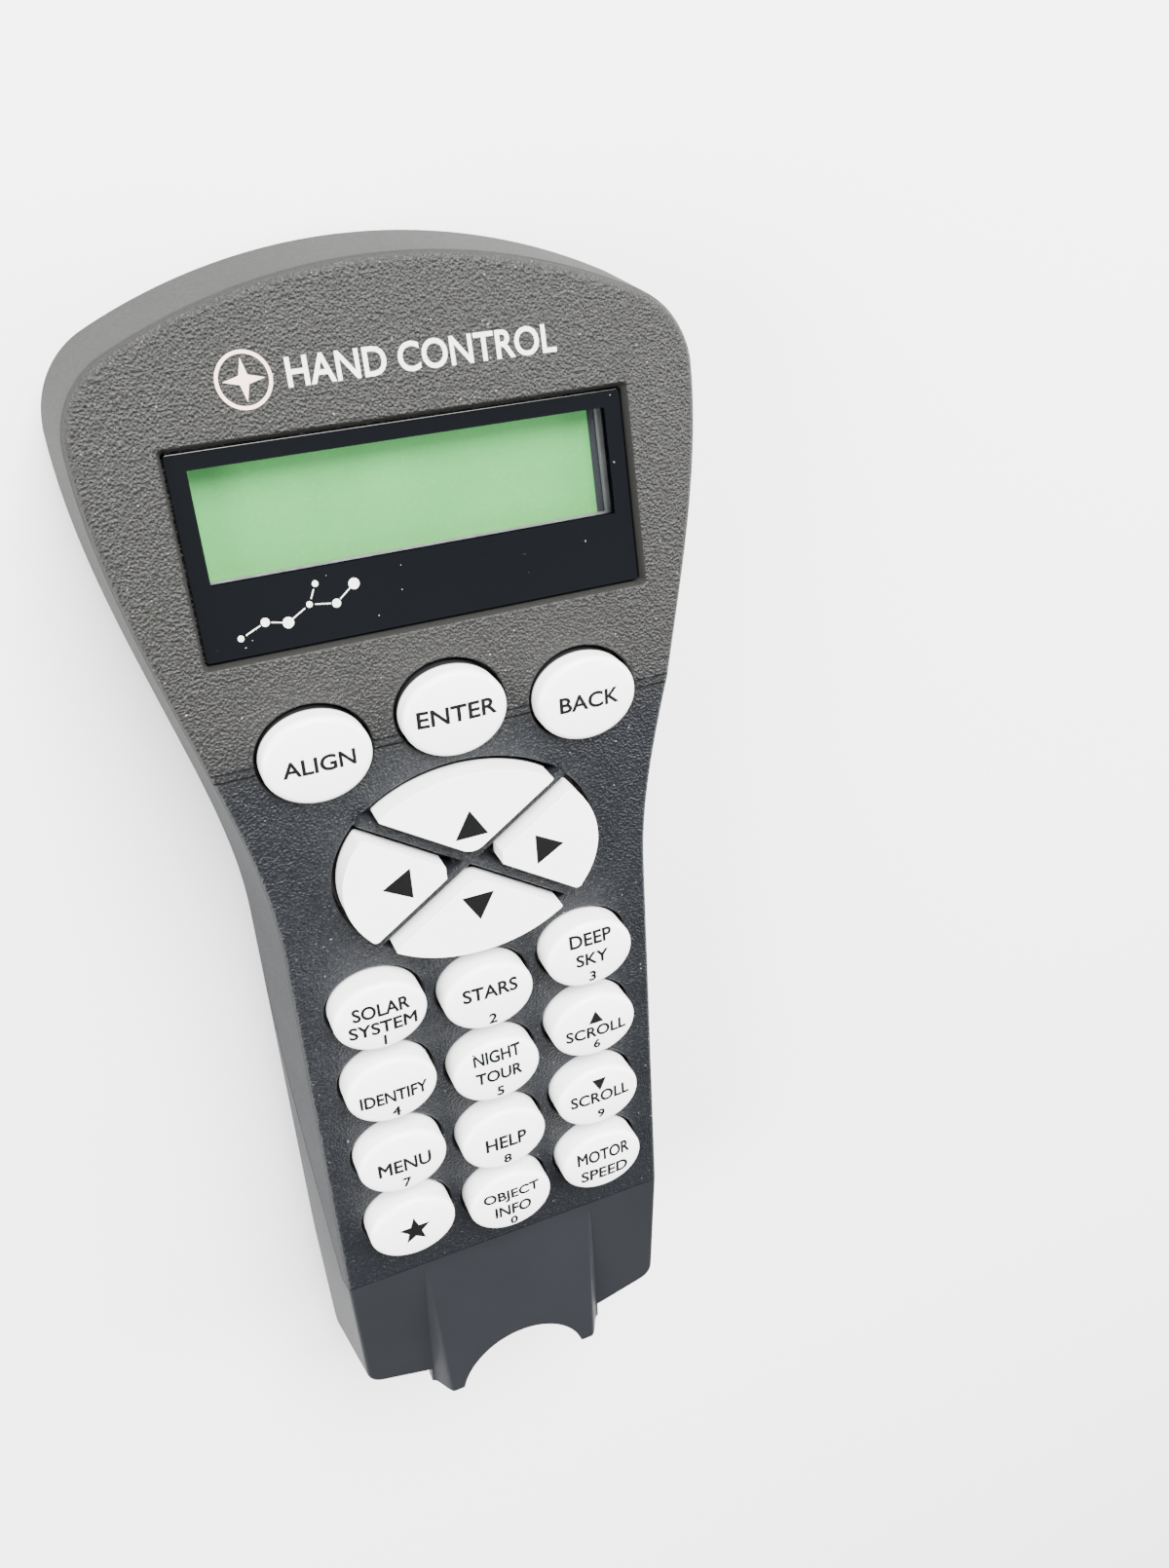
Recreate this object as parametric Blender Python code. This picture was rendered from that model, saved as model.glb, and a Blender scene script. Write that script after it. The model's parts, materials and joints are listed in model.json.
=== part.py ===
"""Telescope hand controller: a two-part case, a back-lit display, nineteen keys and the boards inside.

The case lies on its back. X is across it, +Y runs to the display end and +Z leaves the key face.
The origin is under the middle of the case, on the surface that it lies on.
"""

import math

import bmesh
import bpy
import numpy as np
from mathutils import Matrix, Vector

MM = 0.001

# Case, all in metres. Heights are above the surface that the case lies on.
CASE_LENGTH = 190.9 * MM
FACE_HEIGHT = 30.0 * MM
HEAD_HALF = 40.75 * MM
FACE_TOP_TO_BEND = 59.85 * MM
BEND_TO_CREASE = 96.7 * MM
HEAD_TILT = math.radians(9.17)
SHOULDER_RADIUS = 11.4 * MM
ARCH_RADIUS = 81.0 * MM
NECK_START = 30.0 * MM
SIDE_FLARE = 1.9 * MM
WIDEST_DEPTH = 14.0 * MM
LEAST_BACK = 4.0 * MM
EDGE_ROUND = 0.8 * MM
BACK_INSET = 7.0 * MM
GRIP_HOLLOW = 3.0 * MM
WALL = 2.2 * MM
GAP = 0.3 * MM

# Chin: the lower end of the rear cover, with a raised tongue over the connector bay.
END_SETBACK = 6.45 * MM
CHIN_DROP = 2.0 * MM
CHIN_CORNER = 11.5 * MM
CHIN_POINT = 4.6 * MM
CHIN_TAPER = 0.7 * MM
TONGUE_HALF = 14.7 * MM
TONGUE_RISE = 1.3 * MM
TONGUE_FLANK = 2.4 * MM
TONGUE_SINK = 0.05 * MM
NOTCH_RADIUS = 11.8 * MM
NOTCH_DEPTH = 8.7 * MM
BAY_HALF = 17.0 * MM
BAY_DEPTH = 17.0 * MM
BAY_FLOOR = 5.0 * MM
BAY_ROOF = 4.6 * MM

# Parting surface: the front cover's skirt is a wedge that deepens towards the head.
SKIRT_AT_CREASE = 2.6 * MM
SKIRT_DEPTH = 14.0 * MM
SKIRT_RUN = 62.0 * MM
FACE_GROOVE = 0.5 * MM

# Keys.
KEY_HALF = (7.1 * MM, 5.8 * MM)
TOP_KEY_HALF = (7.5 * MM, 6.3 * MM)
KEY_PITCH = 16.7 * MM
KEY_TO_EDGE = 4.5 * MM
KEY_CLEARANCE = 0.55 * MM
KEY_PROUD = 4.5 * MM
TOP_KEY_PROUD = 2.6 * MM
PAD_PROUD = 3.2 * MM
KEY_LIP = 0.2 * MM
FLANGE_THICK = 1.0 * MM
KEY_ROUND = 0.9 * MM
KEY_CROWN_INSET = 1.3 * MM
PLUNGER_INSET = 2.3 * MM
PLUNGER_DEPTH = 5.4 * MM
KEY_TRAVEL = 1.2 * MM
OUTER_ROWS = (41.6 * MM, 55.5 * MM, 70.1 * MM, 84.2 * MM)
MIDDLE_ROWS = (43.8 * MM, 58.1 * MM, 72.4 * MM, 85.9 * MM)
TOP_KEY_SPREAD = 19.4 * MM
TOP_KEY_UP = (0.4 * MM, 2.6 * MM)
PAD_HALF = (20.1 * MM, 15.5 * MM)
PAD_DOWN = 20.9 * MM
RIB_HALF = 0.85 * MM
RIB_RISE = math.radians(34.0)
PAD_ROUND = 0.5 * MM
PAD_CROWN_SCALE = 0.9
PAD_PLUNGER_SCALE = 0.55

# Display, in the tilted head's own frame: heights up the face from the bend.
WINDOW_HALF = 30.4 * MM
WINDOW_LOW = 14.9 * MM
WINDOW_HIGH = 41.1 * MM
WINDOW_SINK = 1.2 * MM
WINDOW_THICK = 1.3 * MM
WINDOW_BEVEL = 0.9 * MM
SIDE_BORDER = 2.5 * MM
LOW_BORDER = 9.7 * MM
HIGH_BORDER = 2.2 * MM
FRAME_RIM = 2.1 * MM
CELL_THICK = 1.9 * MM
BACKLIGHT_THICK = 1.7 * MM
BOARD_THICK = 1.6 * MM
SEAT_UNDER = 1.3 * MM
DISPLAY_BOARD_EDGE = 3.6 * MM
FRAME_LIP = 0.8 * MM

# Boards, fasteners and sockets.
BOARD_PAST_BEND = 8.0 * MM
BOARD_SCREW_HEAD_TALL = 1.2 * MM
CASE_SCREW_HEAD_TALL = 1.6 * MM
CASE_SCREW_SEAT = 2.6 * MM
CASE_SCREW_GRIP = 5.0 * MM
LOWER_SCREW_MEET = 12.0 * MM
UPPER_SCREW_MEET = 20.0 * MM
THREAD_SKIN = 1.1 * MM
PAD_SCREW_DROP = 5.6 * MM
LABEL_SIZE = (39.6 * MM, 26.0 * MM, 0.3 * MM)
LABEL_PAST_BEND = 4.0 * MM
LABEL_SINK = 0.8 * MM
JACK_ABOVE_FLOOR = 3.4 * MM
PORT_BESIDE_JACK = 1.4 * MM
PORT_ABOVE_JACK = 2.0 * MM
MAT_THICK = 1.0 * MM
SCREW_RADIUS = 1.2 * MM
SCREW_HEAD = 2.3 * MM
BOSS_WALL = 1.3 * MM
SMALL_BOSS_WALL = 0.9 * MM
BOARD_SCREW_RADIUS = 0.9 * MM
BOARD_SCREW_HEAD = 1.8 * MM
JACK_SIZE = (13.2 * MM, 13.0 * MM, 11.4 * MM)
JACK_MOUTH = (9.8 * MM, 8.2 * MM, 6.6 * MM)
PORT_SIZE = (7.7 * MM, 9.0 * MM, 3.9 * MM)
PORT_MOUTH = (6.1 * MM, 6.0 * MM, 2.1 * MM)
CONTROLLER_SIZE = (10.0 * MM, 8.0 * MM, 1.2 * MM)
CABLE_SOCKET_SIZE = (20.0 * MM, 4.0 * MM, 3.0 * MM)
CABLE_SOCKET_FROM_EDGE = 2.0 * MM
ROUND_STEPS = 20

# Sizes and places that follow from the sizes above.
HANDLE_HALF = KEY_PITCH + KEY_HALF[0] + KEY_TO_EDGE
VIEW_HALF = WINDOW_HALF - SIDE_BORDER
VIEW_LOW = WINDOW_LOW + LOW_BORDER
VIEW_HIGH = WINDOW_HIGH - HIGH_BORDER
FRAME_HEIGHT = FRAME_LIP + CELL_THICK + BACKLIGHT_THICK + 2 * GAP
BEND_Y = CASE_LENGTH / 2 - SIDE_FLARE - FACE_TOP_TO_BEND
CREASE_Y = BEND_Y - BEND_TO_CREASE
END_Y = -CASE_LENGTH / 2
SIDE_END_Y = END_Y + END_SETBACK
CHIN_LENGTH = CREASE_Y - SIDE_END_Y
BAY_WALL_Y = END_Y + BAY_DEPTH
CAVITY_END_Y = BAY_WALL_Y + WALL
PLUNGER_Z = FACE_HEIGHT - PLUNGER_DEPTH
MAT_TOP_Z = PLUNGER_Z - KEY_TRAVEL - GAP
BOARD_TOP_Z = MAT_TOP_Z - MAT_THICK - GAP
BOARD_HALF = HANDLE_HALF - WALL - 2 * GAP
ARCH_Y = BEND_Y + FACE_TOP_TO_BEND - ARCH_RADIUS
SHOULDER_X = HEAD_HALF - SHOULDER_RADIUS
SHOULDER_Y = ARCH_Y + math.sqrt((ARCH_RADIUS - SHOULDER_RADIUS) ** 2 - SHOULDER_X ** 2)
BOARD_LOW_Y = BEND_Y - OUTER_ROWS[3] - KEY_HALF[1]
BOARD_HIGH_Y = BEND_Y + BOARD_PAST_BEND
PAD_CENTRE = (0.0, BEND_Y - PAD_DOWN)
DISPLAY_TOP = -(WINDOW_SINK + WINDOW_THICK + SEAT_UNDER)
FRAME_TOP = DISPLAY_TOP - GAP
FRAME_BOTTOM = FRAME_TOP - FRAME_HEIGHT
DISPLAY_BOARD_TOP = FRAME_BOTTOM - GAP

# The direction pad's keys, a quarter turn apart from the right round to the bottom.
PAD_KEYS = ("right_key", "up_key", "left_key", "down_key")

# What the main board carries: its middle across and below the bend, then its width, length and height.
BOARD_PIECES = {
    "processor": (0.0, 30.0 * MM, 12.0 * MM, 12.0 * MM, 1.4 * MM),
    "memory_chip": (-14.0 * MM, 33.0 * MM, 8.0 * MM, 5.0 * MM, 1.2 * MM),
    "clock_crystal": (13.0 * MM, 27.0 * MM, 9.0 * MM, 4.0 * MM, 3.4 * MM),
    "voltage_regulator": (-13.0 * MM, 58.0 * MM, 7.0 * MM, 6.0 * MM, 2.2 * MM),
    "serial_chip": (4.0 * MM, 62.0 * MM, 6.0 * MM, 9.0 * MM, 1.4 * MM),
}

# Finishes: colour, roughness and, for metal, how metallic.
PLASTIC = ((0.035, 0.036, 0.04), 0.5)
SMOOTH_PLASTIC = ((0.05, 0.05, 0.053), 0.42)
WHITE = ((0.86, 0.86, 0.85), 0.38)
STEEL = ((0.5, 0.5, 0.5), 0.35, 0.9)
GREEN_BOARD = ((0.02, 0.16, 0.07), 0.45)
CHIP = ((0.02, 0.02, 0.022), 0.4)


def material(name, colour, roughness, metallic=0.0):
    made = bpy.data.materials.new(name)
    made.use_nodes = True
    shader = made.node_tree.nodes["Principled BSDF"]
    shader.inputs["Base Color"].default_value = (*colour, 1.0)
    shader.inputs["Roughness"].default_value = roughness
    shader.inputs["Metallic"].default_value = metallic
    return made


def object_from(mesh, name, finish=None, parent=None):
    """A scene object for a bmesh, with its faces pointing out."""
    bmesh.ops.recalc_face_normals(mesh, faces=mesh.faces)
    data = bpy.data.meshes.new(name)
    mesh.to_mesh(data)
    mesh.free()
    data.shade_smooth()
    data.set_sharp_from_angle(angle=math.radians(35))
    made = bpy.data.objects.new(name, data)
    bpy.context.scene.collection.objects.link(made)
    if finish:
        data.materials.append(material(name + "_finish", *finish))
    made.parent = parent
    return made


def combine(target, operation, *tools):
    """One Boolean step on the target, with all its tools in a collection of their own."""
    group = bpy.data.collections.new(f"{target.name}_{operation.lower()}")
    bpy.context.scene.collection.children.link(group)
    for tool in tools:
        bpy.context.scene.collection.objects.unlink(tool)
        group.objects.link(tool)
        tool.hide_render = True
        tool.display_type = "WIRE"
    step = target.modifiers.new(group.name, "BOOLEAN")
    step.operation = operation
    step.operand_type = "COLLECTION"
    step.collection = group
    step.solver = "EXACT"


def cut(target, *tools):
    combine(target, "DIFFERENCE", *tools)


def join(target, *tools):
    combine(target, "UNION", *tools)


def box_mesh(low, high):
    mesh = bmesh.new()
    low, high = Vector(low), Vector(high)
    place = Matrix.Translation((low + high) / 2) @ Matrix.Diagonal((*(high - low), 1.0))
    bmesh.ops.create_cube(mesh, size=1.0, matrix=place)
    return mesh


def box(name, low, high, finish=None, parent=None):
    return object_from(box_mesh(low, high), name, finish, parent)


def loft(rings):
    """A closed mesh through rings of the same count, with a flat face on each end."""
    mesh = bmesh.new()
    rows = [[mesh.verts.new(point) for point in ring] for ring in rings]
    count = len(rows[0])
    for lower, upper in zip(rows, rows[1:]):
        for i in range(count):
            j = (i + 1) % count
            mesh.faces.new((lower[i], lower[j], upper[j], upper[i]))
    mesh.faces.new(rows[0])
    mesh.faces.new(rows[-1])
    return mesh


def turned(name, profile, centre=(0.0, 0.0), half=(1.0, 1.0), finish=None, parent=None, steps=ROUND_STEPS):
    """A round or oval solid. The profile's pairs are an outward offset from the half sizes, and a height."""
    rings = []
    for grow, height in profile:
        ring = []
        for i in range(steps):
            angle = math.tau * (i + 0.5) / steps
            ring.append((centre[0] + (half[0] + grow) * math.cos(angle),
                         centre[1] + (half[1] + grow) * math.sin(angle), height))
        rings.append(ring)
    return object_from(loft(rings), name, finish, parent)


def pillar(name, centre, radius, low, high, finish=None, parent=None):
    return turned(name, ((radius, low), (radius, high)), centre, (0.0, 0.0), finish, parent, 12)


def prism(name, outline, low, high, finish=None, parent=None):
    """A flat outline in X and Y, pulled up from one height to another."""
    rings = [[(x, y, z) for x, y in outline] for z in (low, high)]
    return object_from(loft(rings), name, finish, parent)


def face_z(y):
    """Height of the outer face: level over the keys, tilted back on the head, a little lower on the chin."""
    if y > BEND_Y:
        return FACE_HEIGHT - (y - BEND_Y) * math.tan(HEAD_TILT)
    if y < CREASE_Y:
        return FACE_HEIGHT - CHIN_DROP * (CREASE_Y - y) / CHIN_LENGTH
    return FACE_HEIGHT


def back_z(y):
    """Height of the outer back: a shallow hollow for the fingers between the head and the chin."""
    middle = (BEND_Y + CREASE_Y) / 2
    reach = BEND_TO_CREASE / 2
    away = min(abs(y - middle) / reach, 1.0)
    return GRIP_HOLLOW * (0.5 + 0.5 * math.cos(math.pi * away))


def half_width(y):
    """Half the face's width: straight up the handle, then an S curve out to the head."""
    start = BEND_Y - NECK_START
    along = (y - start) / (SHOULDER_Y - start)
    along = min(max(along, 0.0), 1.0)
    return HANDLE_HALF + (HEAD_HALF - HANDLE_HALF) * along * along * (3 - 2 * along)


def right_edge(lower_end):
    """The face's right edge from its lower end to the top of the arch, as points."""
    lean = math.atan2(SHOULDER_X, SHOULDER_Y - ARCH_Y)
    points = list(lower_end)
    for y in (CREASE_Y, *np.linspace(CREASE_Y, BEND_Y - NECK_START, 4)[1:]):
        if y > points[-1][1] + GAP:
            points.append((HANDLE_HALF, y))
    for y in (*np.linspace(BEND_Y - NECK_START, BEND_Y, 6)[1:], *np.linspace(BEND_Y, SHOULDER_Y, 7)[1:]):
        points.append((half_width(y), y))
    for turn in np.linspace(0, math.pi / 2 - lean, 7)[1:]:
        points.append((SHOULDER_X + SHOULDER_RADIUS * math.cos(turn),
                       SHOULDER_Y + SHOULDER_RADIUS * math.sin(turn)))
    for turn in np.linspace(lean, 0, 7)[1:-1]:
        points.append((ARCH_RADIUS * math.sin(turn), ARCH_Y + ARCH_RADIUS * math.cos(turn)))
    return points


def outward(points):
    """The outward direction at each point of a right edge, scaled so that straight runs offset evenly."""
    mirrored = [(-points[0][0], points[0][1]), *points, (-points[-1][0], points[-1][1])]
    found = []
    for before, here, after in zip(mirrored, mirrored[1:], mirrored[2:]):
        first = Vector((here[1] - before[1], before[0] - here[0])).normalized()
        second = Vector((after[1] - here[1], here[0] - after[0])).normalized()
        middle = (first + second).normalized()
        found.append(middle / max(middle.dot(first), 0.5))
    return found


def case_solid(name, lower_end, profile, end_rounds):
    """A solid that follows the case's outline. Each profile entry is a flare, an inset and a height by y."""
    points = right_edge(lower_end)
    normals = outward(points)
    mesh = bmesh.new()
    rows = []
    for side_flare, inset, height in profile:
        right = []
        for (x, y), normal in zip(points, normals):
            # The chin's end stands square, so the sides' flare doesn't push it outwards.
            lengthwise = side_flare if y > CREASE_Y else 0.0
            new_y = y + normal.y * (lengthwise - inset) if end_rounds or y > CREASE_Y else y
            right.append((x + normal.x * (side_flare - inset), new_y, height(new_y)))
        left = [(-x, y, z) for x, y, z in reversed(right)]
        rows.append([mesh.verts.new(point) for point in right + left])
    count = len(rows[0])
    for lower, upper in zip(rows, rows[1:]):
        for i in range(count):
            j = (i + 1) % count
            mesh.faces.new((lower[i], lower[j], upper[j], upper[i]))
    for row in (rows[0], rows[-1]):
        for i in range(count // 2 - 1):
            mesh.faces.new((row[i], row[i + 1], row[count - 2 - i], row[count - 1 - i]))
    return object_from(mesh, name)


def widest_z(y):
    """Height of the case's widest line."""
    return max(face_z(y) - WIDEST_DEPTH, back_z(y) + LEAST_BACK)


def round_back(steps, wall):
    """The back's rounding, as profile entries from the widest line down to the flat back."""
    entries = []
    for turn in np.linspace(0, math.pi / 2, steps):
        left_to_fall = 1 - math.sin(turn)

        def height(y, left_to_fall=left_to_fall):
            bottom = back_z(y) + wall
            return bottom + (widest_z(y) - bottom) * left_to_fall

        entries.append((SIDE_FLARE, wall + BACK_INSET * (1 - math.cos(turn)), height))
    return entries


def outer_body(name):
    """The whole case as one block, with its chin."""
    lower_end = ((CHIN_CORNER, SIDE_END_Y - CHIN_POINT), (HANDLE_HALF - CHIN_TAPER, SIDE_END_Y))
    middle = EDGE_ROUND * (1 - math.cos(math.pi / 4))
    profile = [
        (0.0, EDGE_ROUND, face_z),
        (0.0, middle, lambda y: face_z(y) - middle),
        (0.0, 0.0, lambda y: face_z(y) - EDGE_ROUND),
        *round_back(6, 0.0),
    ]
    return case_solid(name, lower_end, profile, True)


def inner_space(name):
    """The hollow inside the case, a wall in from its outside, up to the wall of the connector bay."""
    profile = [
        (0.0, WALL, lambda y: face_z(y) - WALL / math.cos(HEAD_TILT)),
        *round_back(5, WALL),
    ]
    return case_solid(name, ((HANDLE_HALF, CAVITY_END_Y),), profile, False)


def skirt_points(drop):
    """The parting line in Y and Z from the crease to the head, lowered by drop."""
    points = []
    for y in (*np.linspace(CREASE_Y, CREASE_Y + SKIRT_RUN, 7), BEND_Y, CASE_LENGTH):
        along = min((y - CREASE_Y) / SKIRT_RUN, 1.0)
        deep = SKIRT_AT_CREASE + (SKIRT_DEPTH - SKIRT_AT_CREASE) * math.sin(along * math.pi / 2)
        points.append((y, face_z(y) - deep - drop))
    return points


def side_prism(name, outline):
    """An outline in Y and Z, pulled across the whole width."""
    reach = 2 * HEAD_HALF
    return object_from(loft([[(x, y, z) for y, z in outline] for x in (-reach, reach)]), name)


def oval_cutter(name, centre, half, clearance):
    return turned(name, ((clearance, PLUNGER_Z), (clearance, FACE_HEIGHT + WALL)), centre, half)


def pad_outline(quarter, clearance):
    """One key of the direction pad: a slice of the oval between two ribs, in by a clearance."""
    gap = RIB_HALF + clearance
    half = (PAD_HALF[0] - clearance, PAD_HALF[1] - clearance)
    turn = quarter * math.pi / 2
    open_half = math.pi / 2 - RIB_RISE if quarter % 2 else RIB_RISE
    toe = gap / math.sin(open_half)
    edge = Vector((math.cos(open_half), math.sin(open_half)))
    # The rib's edge line leaves the toe and meets the oval at the root of a quadratic.
    across, along = (half[1], half[0]) if quarter % 2 else (half[0], half[1])
    a = (edge.x / across) ** 2 + (edge.y / along) ** 2
    b = 2 * toe * edge.x / across ** 2
    c = (toe / across) ** 2 - 1
    run = (-b + math.sqrt(b * b - 4 * a * c)) / (2 * a)
    corner = math.atan2((run * edge.y) / along, (toe + run * edge.x) / across)
    points = [Vector((toe, 0.0))]
    for angle in np.linspace(-corner, corner, 13):
        points.append(Vector((across * math.cos(angle), along * math.sin(angle))))
    swing = Matrix.Rotation(turn, 2)
    return [(swing @ point).to_tuple() for point in points]


def moved(outline, centre):
    return [(x + centre[0], y + centre[1]) for x, y in outline]


def key_centres():
    """Each round key's name and centre on the face."""
    rows = (
        ("key_1", "key_2", "key_3"),
        ("key_4", "key_5", "key_6"),
        ("key_7", "key_8", "key_9"),
        ("option_key", "key_0", "speed_key"),
    )
    centres = {}
    for row, names in enumerate(rows):
        for column, name in enumerate(names):
            down = MIDDLE_ROWS[row] if column == 1 else OUTER_ROWS[row]
            centres[name] = ((column - 1) * KEY_PITCH, BEND_Y - down)
    return centres


def top_key_centres():
    return {
        "align_key": (-TOP_KEY_SPREAD, BEND_Y + TOP_KEY_UP[0]),
        "enter_key": (0.0, BEND_Y + TOP_KEY_UP[1]),
        "back_key": (TOP_KEY_SPREAD, BEND_Y + TOP_KEY_UP[0]),
    }


def case_screw_places():
    """Each case screw's name, its x and y, and the height where the two covers' bosses meet."""
    low = BEND_Y - OUTER_ROWS[3] - KEY_HALF[1] - KEY_CLEARANCE - SCREW_RADIUS - BOSS_WALL - GAP
    high = BEND_Y + FACE_TOP_TO_BEND - SHOULDER_RADIUS
    low_x = HANDLE_HALF - BACK_INSET
    high_x = SHOULDER_X - SCREW_RADIUS
    places = []
    for side, word in ((-1, "left"), (1, "right")):
        places.append((f"case_screw_lower_{word}", (side * low_x, low), FACE_HEIGHT - LOWER_SCREW_MEET))
        places.append((f"case_screw_upper_{word}", (side * high_x, high), FACE_HEIGHT - UPPER_SCREW_MEET))
    return places


def board_screw_places():
    low = BEND_Y - (OUTER_ROWS[2] + OUTER_ROWS[3] + MIDDLE_ROWS[2] + MIDDLE_ROWS[3]) / 4
    high = PAD_CENTRE[1] + PAD_HALF[1] - PAD_SCREW_DROP
    wide = BOARD_HALF - BOARD_SCREW_HEAD - GAP
    return [(-KEY_PITCH / 2, low), (KEY_PITCH / 2, low), (-wide, high), (wide, high)]


def display_board_edges():
    """The display board's lower and upper edge in the head's own frame, each as a half width and a height."""
    edges = []
    for up in (WINDOW_LOW - DISPLAY_BOARD_EDGE, WINDOW_HIGH + DISPLAY_BOARD_EDGE):
        y = BEND_Y + up * math.cos(HEAD_TILT) + (DISPLAY_BOARD_TOP - BOARD_THICK) * math.sin(HEAD_TILT)
        edges.append((half_width(y) - WALL - 2 * GAP, up))
    return edges


def display_screw_places():
    """In the head's own frame: x across and height up the face."""
    inset = BOARD_SCREW_HEAD + GAP
    (low_half, low), (high_half, high) = display_board_edges()
    places = []
    for side in (-1, 1):
        places.append((side * (low_half - inset), low + inset))
        places.append((side * (high_half - inset - GAP), high - inset))
    return places


def front_cover(head):
    cover = outer_body("front_cover")
    cover.data.materials.append(material("textured_black", *PLASTIC))
    cut(cover, inner_space("front_hollow"))
    above = skirt_points(0.0)
    keep = [(CREASE_Y, FACE_HEIGHT * 2), *above, (CASE_LENGTH, FACE_HEIGHT * 2)]
    combine(cover, "INTERSECT", side_prism("front_keep", keep))
    join(cover, *cover_bosses(head))
    cut(cover, *screw_holes(head))
    join(cover, display_seat(head))
    cut(cover, *window_tools(head))
    cut(cover, *key_holes(), face_groove())


def cover_bosses(head):
    """The posts under the front cover that take the case, board and display screws."""
    small = BOARD_SCREW_RADIUS + GAP + SMALL_BOSS_WALL
    posts = []
    for name, centre, meet in case_screw_places():
        top = face_z(centre[1]) - WALL / 2
        posts.append(pillar(name + "_post", centre, SCREW_RADIUS + GAP + BOSS_WALL, meet, top))
    for index, centre in enumerate(board_screw_places(), 1):
        posts.append(pillar(f"board_post_{index}", centre, small, BOARD_TOP_Z + GAP, FACE_HEIGHT - WALL / 2))
    for index, place in enumerate(display_screw_places(), 1):
        posts.append(pillar(f"display_post_{index}", place, small, DISPLAY_BOARD_TOP + GAP, -WALL / 2,
                            parent=head))
    return posts


def screw_holes(head):
    radius = BOARD_SCREW_RADIUS + GAP
    holes = []
    for name, centre, meet in case_screw_places():
        top = face_z(centre[1]) - WALL - THREAD_SKIN
        holes.append(pillar(name + "_thread", centre, SCREW_RADIUS + GAP, meet - WALL, top))
    for index, centre in enumerate(board_screw_places(), 1):
        top = FACE_HEIGHT - WALL - THREAD_SKIN
        holes.append(pillar(f"board_thread_{index}", centre, radius, BOARD_TOP_Z, top))
    for index, place in enumerate(display_screw_places(), 1):
        holes.append(pillar(f"display_thread_{index}", place, radius, DISPLAY_BOARD_TOP,
                            -WALL - THREAD_SKIN, parent=head))
    return holes


def display_seat(head):
    """The thick frame under the head's face that holds the window above and the display below."""
    wide = WINDOW_HALF + WALL
    return box("display_seat", (-wide, WINDOW_LOW - WALL, DISPLAY_TOP),
               (wide, WINDOW_HIGH + WALL, -WALL / 2), parent=head)


def window_tools(head):
    """The sloping-edged pocket that the window sits in, and the opening under it."""
    rings = []
    pocket_bottom = -(WINDOW_SINK + WINDOW_THICK + GAP)
    for grow, height in ((GAP, pocket_bottom), (GAP, -WINDOW_SINK), (GAP + WINDOW_BEVEL, WALL)):
        x, low, high = WINDOW_HALF + grow, WINDOW_LOW - grow, WINDOW_HIGH + grow
        rings.append([(-x, low, height), (x, low, height), (x, high, height), (-x, high, height)])
    view = box("view_opening", (-VIEW_HALF - GAP, VIEW_LOW - GAP, DISPLAY_TOP - WALL),
               (VIEW_HALF + GAP, VIEW_HIGH + GAP, pocket_bottom + GAP), parent=head)
    return object_from(loft(rings), "window_pocket", parent=head), view


def key_holes():
    holes = []
    for name, centre in key_centres().items():
        holes.append(oval_cutter(name + "_hole", centre, KEY_HALF, KEY_CLEARANCE))
    for name, centre in top_key_centres().items():
        holes.append(oval_cutter(name + "_hole", centre, TOP_KEY_HALF, KEY_CLEARANCE))
    for quarter, name in enumerate(PAD_KEYS):
        outline = moved(pad_outline(quarter, 0.0), PAD_CENTRE)
        holes.append(prism(name + "_hole", outline, PLUNGER_Z, FACE_HEIGHT + WALL))
    return holes


def face_groove():
    reach = 2 * HEAD_HALF
    return box("face_groove", (-reach, BEND_Y - FACE_GROOVE / 2, FACE_HEIGHT - FACE_GROOVE),
               (reach, BEND_Y + FACE_GROOVE / 2, FACE_HEIGHT + WALL))


def rear_cover():
    cover = outer_body("rear_cover")
    cover.data.materials.append(material("smooth_black", *SMOOTH_PLASTIC))
    join(cover, tongue())
    cut(cover, inner_space("rear_hollow"))
    below = skirt_points(GAP)
    below[0] = (CREASE_Y - GAP, below[0][1])
    keep = [*below, (CASE_LENGTH, -FACE_HEIGHT), (-CASE_LENGTH, -FACE_HEIGHT),
            (-CASE_LENGTH, FACE_HEIGHT * 2), (CREASE_Y - GAP, FACE_HEIGHT * 2)]
    combine(cover, "INTERSECT", side_prism("rear_keep", keep))
    columns, holes, sinks = [], [], []
    for name, centre, meet in case_screw_places():
        radius = SCREW_RADIUS + GAP
        columns.append(pillar(name + "_column", centre, radius + BOSS_WALL, WALL / 2, meet - GAP))
        holes.append(pillar(name + "_clearance", centre, radius, -WALL, meet))
        sinks.append(pillar(name + "_sink", centre, SCREW_HEAD + GAP, -WALL, screw_head_z(centre) + GAP))
    join(cover, *columns)
    cut(cover, *holes)
    cut(cover, *sinks, *connector_bay())
    low_y, high_y, wide = label_place()
    cut(cover, box("label_pocket", (-wide - GAP, low_y - GAP, -WALL),
                   (wide + GAP, high_y + GAP, back_z(high_y) + LABEL_SINK)))


def label_place():
    """The rating label's lower and upper edge and half its width, on the head's flat back."""
    low = BEND_Y + LABEL_PAST_BEND
    return low, low + LABEL_SIZE[1], LABEL_SIZE[0] / 2


def screw_head_z(centre):
    """The height of the top of a case screw's head, sunk in its counterbore."""
    return back_z(centre[1]) + CASE_SCREW_SEAT


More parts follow.
